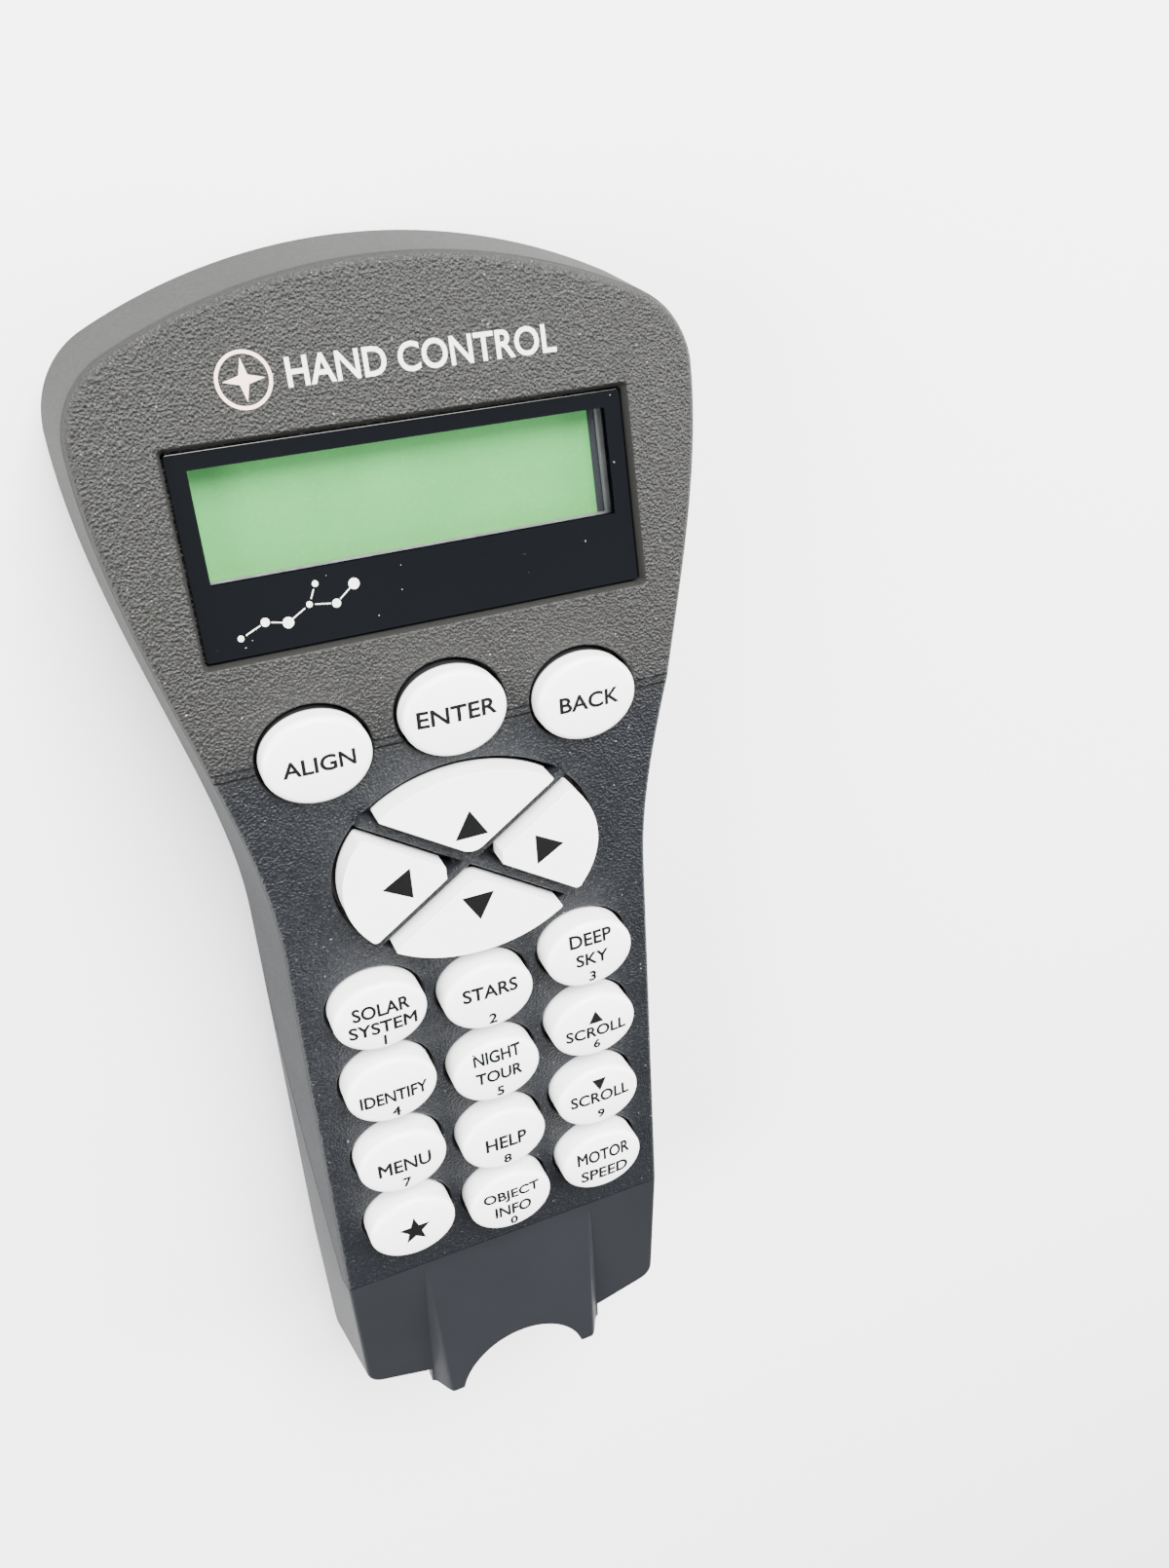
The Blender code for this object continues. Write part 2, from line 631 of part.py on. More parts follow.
def tongue():
    """The raised block on the chin: level where it starts, proud at the end, with sloping flanks."""
    low_z = FACE_HEIGHT - CHIN_DROP - 2 * WALL
    rings = []
    for y, rise in ((CREASE_Y - GAP, 0.0), (END_Y, TONGUE_RISE)):
        top = FACE_HEIGHT + rise - TONGUE_SINK
        narrow = TONGUE_HALF - rise
        rings.append([(-TONGUE_HALF - TONGUE_FLANK, y, low_z), (-narrow, y, top), (narrow, y, top),
                      (TONGUE_HALF + TONGUE_FLANK, y, low_z)])
    return object_from(loft(rings), "tongue")


def connector_bay():
    """The open-ended bay for the plugs, its notch for a thumb, and the seats of the two sockets."""
    end = END_Y - WALL
    roof = FACE_HEIGHT - BAY_ROOF
    thumb = TONGUE_HALF - WALL
    tools = [
        box("bay_space", (-BAY_HALF, end, BAY_FLOOR), (BAY_HALF, BAY_WALL_Y, roof)),
        box("bay_under_tongue", (-thumb, end, BAY_FLOOR + WALL),
            (thumb, BAY_WALL_Y - GAP, FACE_HEIGHT - WALL)),
        turned("thumb_notch", ((0.0, roof - WALL), (0.0, FACE_HEIGHT + 3 * WALL)),
               (0.0, END_Y + NOTCH_DEPTH - NOTCH_RADIUS), (NOTCH_RADIUS, NOTCH_RADIUS)),
    ]
    for name, (low, high) in (("jack_seat", jack_box()), ("port_seat", port_box())):
        tools.append(box(name, (low[0] - GAP, BAY_WALL_Y - WALL, low[2] - GAP),
                         (high[0] + GAP, CAVITY_END_Y + WALL, high[2] + GAP)))
    return tools


def jack_box():
    """The cord jack's corners: on the case's middle, its mouth just inside the bay."""
    low_z = BAY_FLOOR + JACK_ABOVE_FLOOR
    return ((-JACK_SIZE[0] / 2, BAY_WALL_Y - GAP, low_z),
            (JACK_SIZE[0] / 2, BAY_WALL_Y - GAP + JACK_SIZE[1], low_z + JACK_SIZE[2]))


def port_box():
    """The data port's corners, beside the jack."""
    low, high = jack_box()
    corner = (high[0] + PORT_BESIDE_JACK, low[1], low[2] + PORT_ABOVE_JACK)
    return corner, tuple(start + size for start, size in zip(corner, PORT_SIZE))


def socket(name, corners, mouth, finish):
    """A moulded socket with a blind mouth that opens to -Y."""
    low, high = corners
    made = box(name, low, high, finish)
    x = (low[0] + high[0]) / 2
    z = (low[2] + high[2]) / 2
    cut(made, box(name + "_mouth", (x - mouth[0] / 2, low[1] - WALL, z - mouth[2] / 2),
                  (x + mouth[0] / 2, low[1] + mouth[1], z + mouth[2] / 2)))


def screw(name, centre, shaft, head, seat_z, tip_z, head_height, parent=None):
    """A round-headed screw whose head is below its seat and whose tip points up."""
    profile = ((head * 0.8, seat_z - head_height), (head, seat_z - head_height * 0.6), (head, seat_z),
               (shaft, seat_z), (shaft, tip_z - shaft), (shaft * 0.4, tip_z))
    turned(name, profile, centre, (0.0, 0.0), STEEL, parent, 12)


def keys():
    """The keys that stand through the front cover, each with a flange that keeps it in."""
    flange_top = FACE_HEIGHT - WALL - GAP
    for name, centre in key_centres().items():
        oval_key(name, centre, KEY_HALF, FACE_HEIGHT + KEY_PROUD, flange_top)
    for name, centre in top_key_centres().items():
        # The head's tilt lowers the wall over these keys' upper edge, so their flange sits lower too.
        reach = centre[1] + TOP_KEY_HALF[1] + KEY_CLEARANCE + KEY_LIP
        flange = face_z(reach) - WALL / math.cos(HEAD_TILT) - GAP
        oval_key(name, centre, TOP_KEY_HALF, FACE_HEIGHT + TOP_KEY_PROUD, flange)
    for quarter, name in enumerate(PAD_KEYS):
        pad_key(name, quarter, flange_top)


def oval_key(name, centre, half, top, flange_top):
    wide = KEY_CLEARANCE + KEY_LIP
    flange_bottom = flange_top - FLANGE_THICK
    profile = ((-PLUNGER_INSET, PLUNGER_Z), (-PLUNGER_INSET, flange_bottom), (wide, flange_bottom),
               (wide, flange_top), (0.0, flange_top), (0.0, top - KEY_ROUND), (-KEY_CROWN_INSET, top))
    if flange_bottom - PLUNGER_Z < GAP:
        profile = ((wide, PLUNGER_Z), *profile[3:])
    place = bpy.data.objects.new(name + "_axis", None)
    bpy.context.scene.collection.objects.link(place)
    place.location = (*centre, FACE_HEIGHT)
    local = [(grow, height - FACE_HEIGHT) for grow, height in profile]
    turned(name, local, (0.0, 0.0), half, WHITE, place)


def pad_key(name, quarter, flange_top):
    body = pad_outline(quarter, KEY_CLEARANCE)
    middle = Vector(body[7]) / 2
    inner = [tuple(middle + (Vector(point) - middle) * PAD_PLUNGER_SCALE) for point in body]
    crown = [tuple(middle + (Vector(point) - middle) * PAD_CROWN_SCALE) for point in body]
    wide = pad_outline(quarter, -KEY_LIP)
    top = FACE_HEIGHT + PAD_PROUD
    rings = []
    for outline, height in ((inner, PLUNGER_Z), (inner, flange_top - FLANGE_THICK),
                            (wide, flange_top - FLANGE_THICK), (wide, flange_top), (body, flange_top),
                            (body, top - PAD_ROUND), (crown, top)):
        rings.append([(x, y, height - FACE_HEIGHT) for x, y in outline])
    place = bpy.data.objects.new(name + "_axis", None)
    bpy.context.scene.collection.objects.link(place)
    place.location = (*PAD_CENTRE, FACE_HEIGHT)
    object_from(loft(rings), name, WHITE, place)


def display(head):
    """The window, and under it the display module on its own board."""
    box("display_window", (-WINDOW_HALF, WINDOW_LOW, -(WINDOW_SINK + WINDOW_THICK)),
        (WINDOW_HALF, WINDOW_HIGH, -WINDOW_SINK), ((0.02, 0.025, 0.04), 0.06), head)
    x, low, high = VIEW_HALF + FRAME_RIM, VIEW_LOW - FRAME_RIM, VIEW_HIGH + FRAME_RIM
    frame = box("display_frame", (-x, low, FRAME_BOTTOM), (x, high, FRAME_TOP), STEEL, head)
    cut(frame, box("frame_window", (-VIEW_HALF, VIEW_LOW, FRAME_TOP - 2 * FRAME_LIP),
                   (VIEW_HALF, VIEW_HIGH, FRAME_TOP + FRAME_LIP), parent=head))
    inside = FRAME_RIM - FRAME_LIP
    cut(frame, box("frame_inside", (-VIEW_HALF - inside, VIEW_LOW - inside, FRAME_BOTTOM - FRAME_LIP),
                   (VIEW_HALF + inside, VIEW_HIGH + inside, FRAME_TOP - FRAME_LIP), parent=head))
    inset = inside - GAP
    top = FRAME_TOP - FRAME_LIP - GAP
    box("display_cell", (-VIEW_HALF - inset, VIEW_LOW - inset, top - CELL_THICK),
        (VIEW_HALF + inset, VIEW_HIGH + inset, top), ((0.5, 0.68, 0.45), 0.25), head)
    top -= CELL_THICK + GAP
    box("backlight", (-VIEW_HALF - inset, VIEW_LOW - inset, top - BACKLIGHT_THICK),
        (VIEW_HALF + inset, VIEW_HIGH + inset, top), ((0.75, 0.9, 0.7), 0.4), head)
    bottom = DISPLAY_BOARD_TOP - BOARD_THICK
    (low_half, low), (high_half, high) = display_board_edges()
    outline = ((-low_half, low), (low_half, low), (high_half, high), (-high_half, high))
    board = prism("display_board", outline, bottom, DISPLAY_BOARD_TOP, GREEN_BOARD, head)
    for index, place in enumerate(display_screw_places(), 1):
        cut(board, pillar(f"display_board_hole_{index}", place, BOARD_SCREW_RADIUS + GAP, bottom - WALL,
                          DISPLAY_BOARD_TOP + WALL, parent=head))
        screw(f"display_screw_{index}", place, BOARD_SCREW_RADIUS, BOARD_SCREW_HEAD, bottom - GAP,
              DISPLAY_TOP - GAP, BOARD_SCREW_HEAD_TALL, head)
    wide, long, tall = CONTROLLER_SIZE
    box("display_controller", (-wide / 2, VIEW_LOW, bottom - GAP - tall),
        (wide / 2, VIEW_LOW + long, bottom - GAP), CHIP, head)


def main_board():
    """The board under the keys, its parts on its underside, and the rubber contact mat on top."""
    bottom = BOARD_TOP_Z - BOARD_THICK
    board = box("main_board", (-BOARD_HALF, BOARD_LOW_Y, bottom), (BOARD_HALF, BOARD_HIGH_Y, BOARD_TOP_Z),
                GREEN_BOARD)
    mat = box("key_mat", (-BOARD_HALF + GAP, BOARD_LOW_Y + GAP, MAT_TOP_Z - MAT_THICK),
              (BOARD_HALF - GAP, BOARD_HIGH_Y - GAP, MAT_TOP_Z), ((0.25, 0.26, 0.28), 0.7))
    for index, centre in enumerate(board_screw_places(), 1):
        radius = BOARD_SCREW_RADIUS + GAP
        cut(board, pillar(f"board_hole_{index}", centre, radius, bottom - WALL, BOARD_TOP_Z + WALL))
        cut(mat, pillar(f"mat_hole_{index}", centre, radius + SMALL_BOSS_WALL + GAP, bottom, FACE_HEIGHT))
        screw(f"board_screw_{index}", centre, BOARD_SCREW_RADIUS, BOARD_SCREW_HEAD, bottom - GAP,
              FACE_HEIGHT - WALL - THREAD_SKIN - GAP, BOARD_SCREW_HEAD_TALL)
    under = bottom - GAP
    for name, (x, down, wide, long, tall) in BOARD_PIECES.items():
        y = BEND_Y - down
        box(name, (x - wide / 2, y - long / 2, under - tall), (x + wide / 2, y + long / 2, under),
            STEEL if name == "clock_crystal" else CHIP)
    wide, long, tall = CABLE_SOCKET_SIZE
    far = BOARD_HIGH_Y - CABLE_SOCKET_FROM_EDGE
    box("display_cable_socket", (-wide / 2, far - long, under - tall), (wide / 2, far, under), WHITE)


def rear_label():
    low_y, high_y, wide = label_place()
    top = back_z(high_y) + LABEL_SINK - GAP
    box("rear_label", (-wide, low_y, top - LABEL_SIZE[2]), (wide, high_y, top), ((0.55, 0.55, 0.56), 0.5))


def case_screws():
    for name, centre, meet in case_screw_places():
        seat = screw_head_z(centre)
        screw(name, centre, SCREW_RADIUS, SCREW_HEAD, seat, meet + CASE_SCREW_GRIP, CASE_SCREW_HEAD_TALL)


def main():
    for left_over in list(bpy.data.objects):
        bpy.data.objects.remove(left_over)
    head = bpy.data.objects.new("head_frame", None)
    bpy.context.scene.collection.objects.link(head)
    head.location = (0.0, BEND_Y, FACE_HEIGHT)
    head.rotation_euler = (-HEAD_TILT, 0.0, 0.0)
    front_cover(head)
    rear_cover()
    keys()
    display(head)
    main_board()
    socket("cord_jack", jack_box(), JACK_MOUTH, ((0.03, 0.03, 0.03), 0.4))
    socket("data_port", port_box(), PORT_MOUTH, STEEL)
    rear_label()
    case_screws()


main()
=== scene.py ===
"""The finished looks of a telescope hand controller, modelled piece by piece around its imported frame."""

import contextlib
import json
import math

import bmesh
import bpy
from mathutils import Matrix, Vector

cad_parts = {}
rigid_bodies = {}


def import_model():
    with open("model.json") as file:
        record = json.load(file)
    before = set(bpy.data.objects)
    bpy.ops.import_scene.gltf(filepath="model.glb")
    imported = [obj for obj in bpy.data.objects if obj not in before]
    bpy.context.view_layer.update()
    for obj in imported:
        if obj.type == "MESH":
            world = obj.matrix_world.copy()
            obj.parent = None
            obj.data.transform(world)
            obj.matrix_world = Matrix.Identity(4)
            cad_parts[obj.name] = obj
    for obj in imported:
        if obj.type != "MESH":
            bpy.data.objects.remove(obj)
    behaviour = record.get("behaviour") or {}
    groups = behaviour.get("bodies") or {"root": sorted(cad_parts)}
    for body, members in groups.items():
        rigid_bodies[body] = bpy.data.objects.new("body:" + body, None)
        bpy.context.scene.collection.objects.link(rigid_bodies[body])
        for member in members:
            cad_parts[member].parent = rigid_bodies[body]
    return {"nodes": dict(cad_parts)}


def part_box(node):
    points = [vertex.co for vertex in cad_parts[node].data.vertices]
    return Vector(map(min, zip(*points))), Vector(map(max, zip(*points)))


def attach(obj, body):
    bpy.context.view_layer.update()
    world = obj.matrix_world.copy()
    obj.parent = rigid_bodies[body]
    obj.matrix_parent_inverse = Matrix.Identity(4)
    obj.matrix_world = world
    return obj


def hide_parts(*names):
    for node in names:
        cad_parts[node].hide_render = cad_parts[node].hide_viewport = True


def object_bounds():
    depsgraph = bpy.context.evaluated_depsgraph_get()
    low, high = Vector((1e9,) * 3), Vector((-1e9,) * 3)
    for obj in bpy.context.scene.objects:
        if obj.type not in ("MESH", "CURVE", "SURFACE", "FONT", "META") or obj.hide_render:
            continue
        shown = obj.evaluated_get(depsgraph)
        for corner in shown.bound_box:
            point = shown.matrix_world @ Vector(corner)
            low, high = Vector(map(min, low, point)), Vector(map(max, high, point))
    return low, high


bl_info = {
    "name": "Telescope Hand Controller",
    "version": (1, 0, 0),
    "blender": (4, 5, 0),
    "location": "View3D > Sidebar > Controller",
    "description": "Models the case, keys, display and fittings of a telescope hand controller",
    "category": "Object",
}

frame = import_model()
CAD_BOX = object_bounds()

MM = 0.001
HAIR = 0.01 * MM

# The case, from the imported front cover. +Y runs to the display end and +Z leaves the key face.
COVER_LOW, COVER_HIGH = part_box("front_cover")
FACE_Z = COVER_HIGH.z
CREASE_Y = COVER_LOW.y
END_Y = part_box("rear_cover")[0].y
SIDE_FLARE = 1.9 * MM
HEAD_FLARE = 1.2 * MM
HEAD_HALF = COVER_HIGH.x - HEAD_FLARE - HAIR
BEND_Y = CREASE_Y + 96.7 * MM
HEAD_TILT = math.radians(9.17)
HANDLE_HALF = 28.3 * MM
ARCH_RADIUS = 81.0 * MM
ARCH_Y = COVER_HIGH.y - HEAD_FLARE - HAIR - ARCH_RADIUS
SHOULDER_RADIUS = 11.4 * MM
SHOULDER_X = HEAD_HALF - SHOULDER_RADIUS
SHOULDER_Y = ARCH_Y + math.sqrt((ARCH_RADIUS - SHOULDER_RADIUS) ** 2 - SHOULDER_X ** 2)
NECK_Y = BEND_Y - 30.0 * MM
WIDEST_DEPTH = 14.0 * MM
LEAST_BACK = 4.0 * MM
BACK_INSET = 7.0 * MM
GRIP_HOLLOW = 3.0 * MM
WALL = 2.2 * MM
GAP = 0.3 * MM
SKIRT_AT_CREASE = 2.6 * MM
SKIRT_DEPTH = 14.0 * MM
SKIRT_RUN = 62.0 * MM

# The chin and its connector bay.
SIDE_END_Y = END_Y + 6.45 * MM
CHIN_LENGTH = CREASE_Y - SIDE_END_Y
CHIN_DROP = 2.0 * MM
CHIN_CORNER = (11.5 * MM, 4.6 * MM)
CHIN_TAPER = 0.7 * MM
TONGUE_HALF = 14.7 * MM
TONGUE_RISE = 1.3 * MM
TONGUE_FLANK = 3.0 * MM
TONGUE_ROUND = 0.5 * MM
NOTCH_RADIUS = 11.8 * MM
NOTCH_DEPTH = 8.7 * MM
BAY_HALF = 17.0 * MM
BAY_WALL_Y = END_Y + 17.0 * MM
BAY_FLOOR = 5.0 * MM
BAY_ROOF = 4.6 * MM
BAY_ROUND = 1.2 * MM
LABEL_POCKET_ROUND = 1.8 * MM

# The keys.
KEY_HALF = (7.1 * MM, 5.8 * MM)
TOP_KEY_HALF = (7.5 * MM, 6.3 * MM)
KEY_CLEARANCE = 0.55 * MM
INK_ROOM = 0.08 * MM
STROKE_GROWTH = 0.08 * MM
FLANGE_WIDE = 0.75 * MM
FLANGE_THICK = 1.0 * MM
PAD_CENTRE = (0.0, BEND_Y - 20.9 * MM)
PAD_HALF = (20.1 * MM, 15.5 * MM)
RIB_HALF = 0.85 * MM
RIB_RISE = math.radians(34.0)
RIB_REACH = 18.4 * MM
RIB_PROUD = 0.9 * MM
RIB_ROUND = 0.35 * MM
PAD_CLEARANCE = 0.75 * MM
PAD_TOE_REACH = 6 * MM
PAD_CORNER_REACH = 9 * MM
PAD_HOLE_CORNERS = (0.5 * MM, 1.2 * MM)
PAD_KEY_CORNERS = (1.3 * MM, 1.7 * MM)
# Depth below the face from which the keys are painted dark as painted shade.
SKIRT_SHADE_DEPTH = 0.9 * MM

# The display window, in the tilted head's own frame: heights up the face from the bend.
WINDOW_HALF = 30.4 * MM
WINDOW_LOW = 14.9 * MM
WINDOW_HIGH = 41.1 * MM
WINDOW_SINK = 1.2 * MM
WINDOW_THICK = 1.3 * MM
VIEW_HALF = 27.9 * MM
VIEW_LOW = 24.6 * MM
VIEW_HIGH = 38.9 * MM
VIEW_MARGIN = 1.4 * MM
BEZEL_START = 26.9 * MM

# The printed marks on the head, in its own frame.
MARK_RISE = (0.0, 0.0, HAIR)
WORDS_SPOT, WORDS_SIZE = (3.8 * MM, 48.7 * MM, 0.0), (35.4 * MM, 3.5 * MM)
BADGE_SPOT, BADGE_RADIUS, BADGE_STAR = (-19.2 * MM, 48.5 * MM), 3.5 * MM, 2.6 * MM
PATTERN_SPOT = (-25.6 * MM, 17.4 * MM, HAIR - WINDOW_SINK)

# The screws and sockets. Each kind of post has the wall around its screw and the share of the screw
# that stays bare below it.
SCREW_POSTS = {"case_screw": (1.0 * MM, 0.6), "board_screw": (0.9 * MM, 0.45)}
SCREW_HEAD_HIGH = 1.6 * MM
SCREW_HEAD_HALF = (2.25 * MM, 2.25 * MM)
SINK_HALF = (2.6 * MM, 2.6 * MM)
SHANK_ROOM_HALF = (1.5 * MM, 1.5 * MM)
COLUMN_HALF = (2.8 * MM, 2.8 * MM)
COLUMN_SHARE = 0.55
JACK_MOUTH, JACK_DEEP = (9.8 * MM, 6.6 * MM), 8.2 * MM
PORT_MOUTH, PORT_DEEP = (6.9 * MM, 3.1 * MM), 6.0 * MM
CONTACT_COUNT, CONTACT_PITCH = 6, 1.27 * MM

# Where the viewer stands.
CAMERA_PLACE = Vector((-46.2, 113.3, 190.6)) * MM
CAMERA_LOOK = Vector((0.3304, -0.4752, -0.8155))
CAMERA_UP = Vector((0.2322, 0.8784, -0.4178))
CAMERA_LENS = 30.7

# Each soft light's place and its share of the power.
SOFTBOX_SIZE = 1.0
SOFTBOXES = {
    "key_softbox": ((0.15, 1.05, 0.95), 1.0),
    "left_softbox": ((-1.25, 0.1, 0.75), 0.5),
    "right_softbox": ((1.3, 0.15, 0.7), 0.35),
}

ROUND_KEYS = [name for name in frame["nodes"] if name.startswith("key_") and name != "key_mat"]
ROUND_KEYS = sorted(ROUND_KEYS) + ["option_key", "speed_key"]
TOP_KEYS = ["align_key", "enter_key", "back_key"]
PAD_KEYS = ["right_key", "up_key", "left_key", "down_key"]
CASE_SCREWS = [name for name in frame["nodes"] if name.startswith("case_screw")]

# Each key's printed lines: the words, their width and height and their middle above the key's, in mm.
# A width of zero leaves the letters in their own proportions.
LEGENDS = {
    "align_key": [("ALIGN", 9.7, 2.2, -0.15)],
    "enter_key": [("ENTER", 11.2, 2.3, 0.45)],
    "back_key": [("BACK", 8.9, 2.3, 0.05)],
    "key_1": [("SOLAR", 8.5, 2.1, 1.85), ("SYSTEM", 10.2, 2.1, -1.2), ("1", 0, 1.8, -3.85)],
    "key_2": [("STARS", 8.6, 2.2, 1.55), ("2", 0, 1.9, -3.7)],
    "key_3": [("DEEP", 6.8, 2.1, 3.35), ("SKY", 5.2, 2.1, -0.2), ("3", 0, 1.9, -3.7)],
    "key_4": [("IDENTIFY", 10.4, 2.1, -0.5), ("4", 0, 1.9, -3.75)],
    "key_5": [("NIGHT", 7.6, 2.1, 3.35), ("TOUR", 7.5, 2.1, -0.2), ("5", 0, 1.9, -3.7)],
    "key_6": [("SCROLL", 10.2, 2.0, -0.45), ("6", 0, 1.7, -3.1)],
    "key_7": [("MENU", 8.4, 2.4, 0.1), ("7", 0, 1.9, -3.65)],
    "key_8": [("HELP", 6.8, 2.4, 0.2), ("8", 0, 1.9, -3.6)],
    "key_9": [("SCROLL", 10.2, 2.1, 0.6), ("9", 0, 1.8, -3.1)],
    "key_0": [("OBJECT", 9.6, 2.2, 1.9), ("INFO", 6.2, 2.2, -1.1), ("0", 0, 1.8, -3.9)],
    "speed_key": [("MOTOR", 9.3, 2.3, 2.0), ("SPEED", 8.4, 2.3, -1.9)],
}

# The small arrows on two keys: their middle above the key's in mm, and the way they point.
SCROLL_ARROWS = {"key_6": (1.9, math.pi / 2), "key_9": (3.3, -math.pi / 2)}
SCROLL_ARROW_RADIUS = 1.45 * MM
PAD_ARROW_RADIUS = 2.85 * MM
PAD_ARROW_ACROSS = 10.9 * MM
PAD_ARROW_ALONG = 6.3 * MM
KEY_STAR_RADIUS = 2.7 * MM

# A made-up star pattern for the window's corner: across and up in mm, and the pairs joined by lines.
STAR_PATTERN = [(0.0, 0.0), (3.4, 1.5), (6.3, 0.9), (9.4, 2.7), (12.9, 2.2), (15.6, 4.3), (10.6, 5.2)]
STAR_LINES = [(0, 1), (1, 2), (2, 3), (3, 4), (4, 5), (3, 6)]


class CaseSettings(bpy.types.PropertyGroup):
    edge_round: bpy.props.FloatProperty(
        name="Edge round", description="Radius along the edge of the face",
        default=0.8 * MM, min=0.1 * MM, max=2.0 * MM, unit="LENGTH")
    head_round: bpy.props.FloatProperty(
        name="Head round", description="Radius along the edge of the face round the display end",
        default=1.3 * MM, min=0.1 * MM, max=2.1 * MM, unit="LENGTH")
    lip_round: bpy.props.FloatProperty(
        name="Hole lip", description="Radius around each key hole",
        default=0.33 * MM, min=0.05 * MM, max=0.8 * MM, unit="LENGTH")
    corner_round: bpy.props.FloatProperty(
        name="Chin corner", description="Radius of the two corners at the lower end",
        default=2.6 * MM, min=0.2 * MM, max=5.0 * MM, unit="LENGTH")
    groove_width: bpy.props.FloatProperty(
        name="Groove width", description="Width of each of the two fine grooves at the bend",
        default=0.32 * MM, min=0.1 * MM, max=0.8 * MM, unit="LENGTH")
    groove_spread: bpy.props.FloatProperty(
        name="Groove spread", description="Distance between the middles of the two grooves",
        default=1.15 * MM, min=0.5 * MM, max=3.0 * MM, unit="LENGTH")


class KeySettings(bpy.types.PropertyGroup):
    rim_round: bpy.props.FloatProperty(
        name="Rim round", description="Radius of the round keys' upper rim",
        default=1.05 * MM, min=0.2 * MM, max=2.5 * MM, unit="LENGTH")
    crown: bpy.props.FloatProperty(
        name="Crown", description="How far a round key's middle stands above its rim",
        default=0.45 * MM, min=0.0, max=1.0 * MM, unit="LENGTH")
    pad_round: bpy.props.FloatProperty(
        name="Pad rim round", description="Radius of the direction keys' upper rim",
        default=0.95 * MM, min=0.2 * MM, max=1.2 * MM, unit="LENGTH")
    ink_thick: bpy.props.FloatProperty(
        name="Ink thickness", description="Thickness of the printed legends",
        default=0.03 * MM, min=0.01 * MM, max=0.1 * MM, unit="LENGTH")


class FinishSettings(bpy.types.PropertyGroup):
    face: bpy.props.FloatVectorProperty(
        name="Face", description="Colour of the textured front cover",
        default=(0.0026, 0.0034, 0.0050), min=0.0, max=1.0, size=3, subtype="COLOR")
    rear: bpy.props.FloatVectorProperty(
        name="Rear", description="Colour of the smooth rear cover",
        default=(0.0060, 0.0067, 0.0085), min=0.0, max=1.0, size=3, subtype="COLOR")
    key: bpy.props.FloatVectorProperty(
        name="Key", description="Colour of the keys",
        default=(0.86, 0.86, 0.85), min=0.0, max=1.0, size=3, subtype="COLOR")
    glass: bpy.props.FloatVectorProperty(
        name="Window border", description="Colour printed behind the window's border",
        default=(0.0010, 0.0014, 0.0021), min=0.0, max=1.0, size=3, subtype="COLOR")
    display: bpy.props.FloatVectorProperty(
        name="Display", description="Colour of the resting display",
        default=(0.055, 0.235, 0.064), min=0.0, max=1.0, size=3, subtype="COLOR")
    grain: bpy.props.FloatProperty(
        name="Grain size", description="Size of the face's moulded grain",
        default=0.42 * MM, min=0.1 * MM, max=2.0 * MM, unit="LENGTH")


class StageSettings(bpy.types.PropertyGroup):
    floor: bpy.props.FloatVectorProperty(
        name="Floor", description="Colour of the floor",
        default=(0.86, 0.86, 0.855), min=0.0, max=1.0, size=3, subtype="COLOR")
    sky: bpy.props.FloatProperty(
        name="Sky", description="Strength of the light from all round", default=0.6, min=0.0, max=10.0)
    softbox: bpy.props.FloatProperty(
        name="Softbox", description="Strength of the large light", default=125.0, min=0.0, max=1000.0,
        unit="POWER")


# Modelling helpers. Each works on one object, from the object mode back to the object mode.

def select_only(*objects):
    if bpy.context.object and bpy.context.object.mode != "OBJECT":
        bpy.ops.object.mode_set(mode="OBJECT")
    for other in bpy.context.view_layer.objects:
        other.select_set(False)
    for obj in objects:
        obj.select_set(True)
    bpy.context.view_layer.objects.active = objects[-1] if objects else None


def named(name):
    made = bpy.context.object
    made.name = made.data.name = name
    return made


def add_box(name, low, high):
    select_only()
    low, high = Vector(low), Vector(high)
    bpy.ops.mesh.primitive_cube_add(size=1.0, location=(low + high) / 2)
    made = named(name)
    made.scale = high - low
    return place(made)


def add_oval(name, centre, half, low, high, vertices=64):
    select_only()
    bpy.ops.mesh.primitive_cylinder_add(vertices=vertices, radius=1.0, depth=high - low,
                                        location=(centre[0], centre[1], (low + high) / 2))
    made = named(name)
    made.scale = (half[0], half[1], 1.0)
    return place(made)


def place(obj):
    """Puts the object's place, turn and scale into its mesh."""
    select_only(obj)
    bpy.ops.object.transform_apply(location=True, rotation=True, scale=True)
    return obj


def to_head(obj):
    """Moves a piece from the head's own frame, where the face is level at zero, to its place."""
    obj.data.transform(Matrix.Translation((0, BEND_Y, FACE_Z)) @ Matrix.Rotation(-HEAD_TILT, 4, "X"))
    return obj


def add_disc(name, radius, vertices, centre=(0.0, 0.0), turn=0.0):
    """A flat filled polygon."""
    select_only()
    bpy.ops.mesh.primitive_circle_add(vertices=vertices, radius=radius, fill_type="NGON",
                                      location=(*centre, 0.0), rotation=(0.0, 0.0, turn))
    return place(named(name))


def add_star(name, radius, points, waist, centre):
    """A flat star: a polygon with every other corner drawn in to the waist's share of the radius."""
    made = add_disc(name, radius, 2 * points)
    for vert in list(made.data.vertices)[1::2]:
        vert.co *= waist
    made.data.transform(Matrix.Translation((*centre, 0.0)))
    return made


def add_arrow(centre, radius, turn):
    return add_disc("arrow", radius, 3, centre, turn - math.pi / 2)


def add_solid(name, points, faces):
    """A closed solid from its points and faces, with every face turned outwards."""
    mesh = bpy.data.meshes.new(name)
    mesh.from_pydata(points, [], faces)
    made = bpy.data.objects.new(name, mesh)
    bpy.context.scene.collection.objects.link(made)
    with editing(made, "SELECT"):
        bpy.ops.mesh.normals_make_consistent(inside=False)
    return made


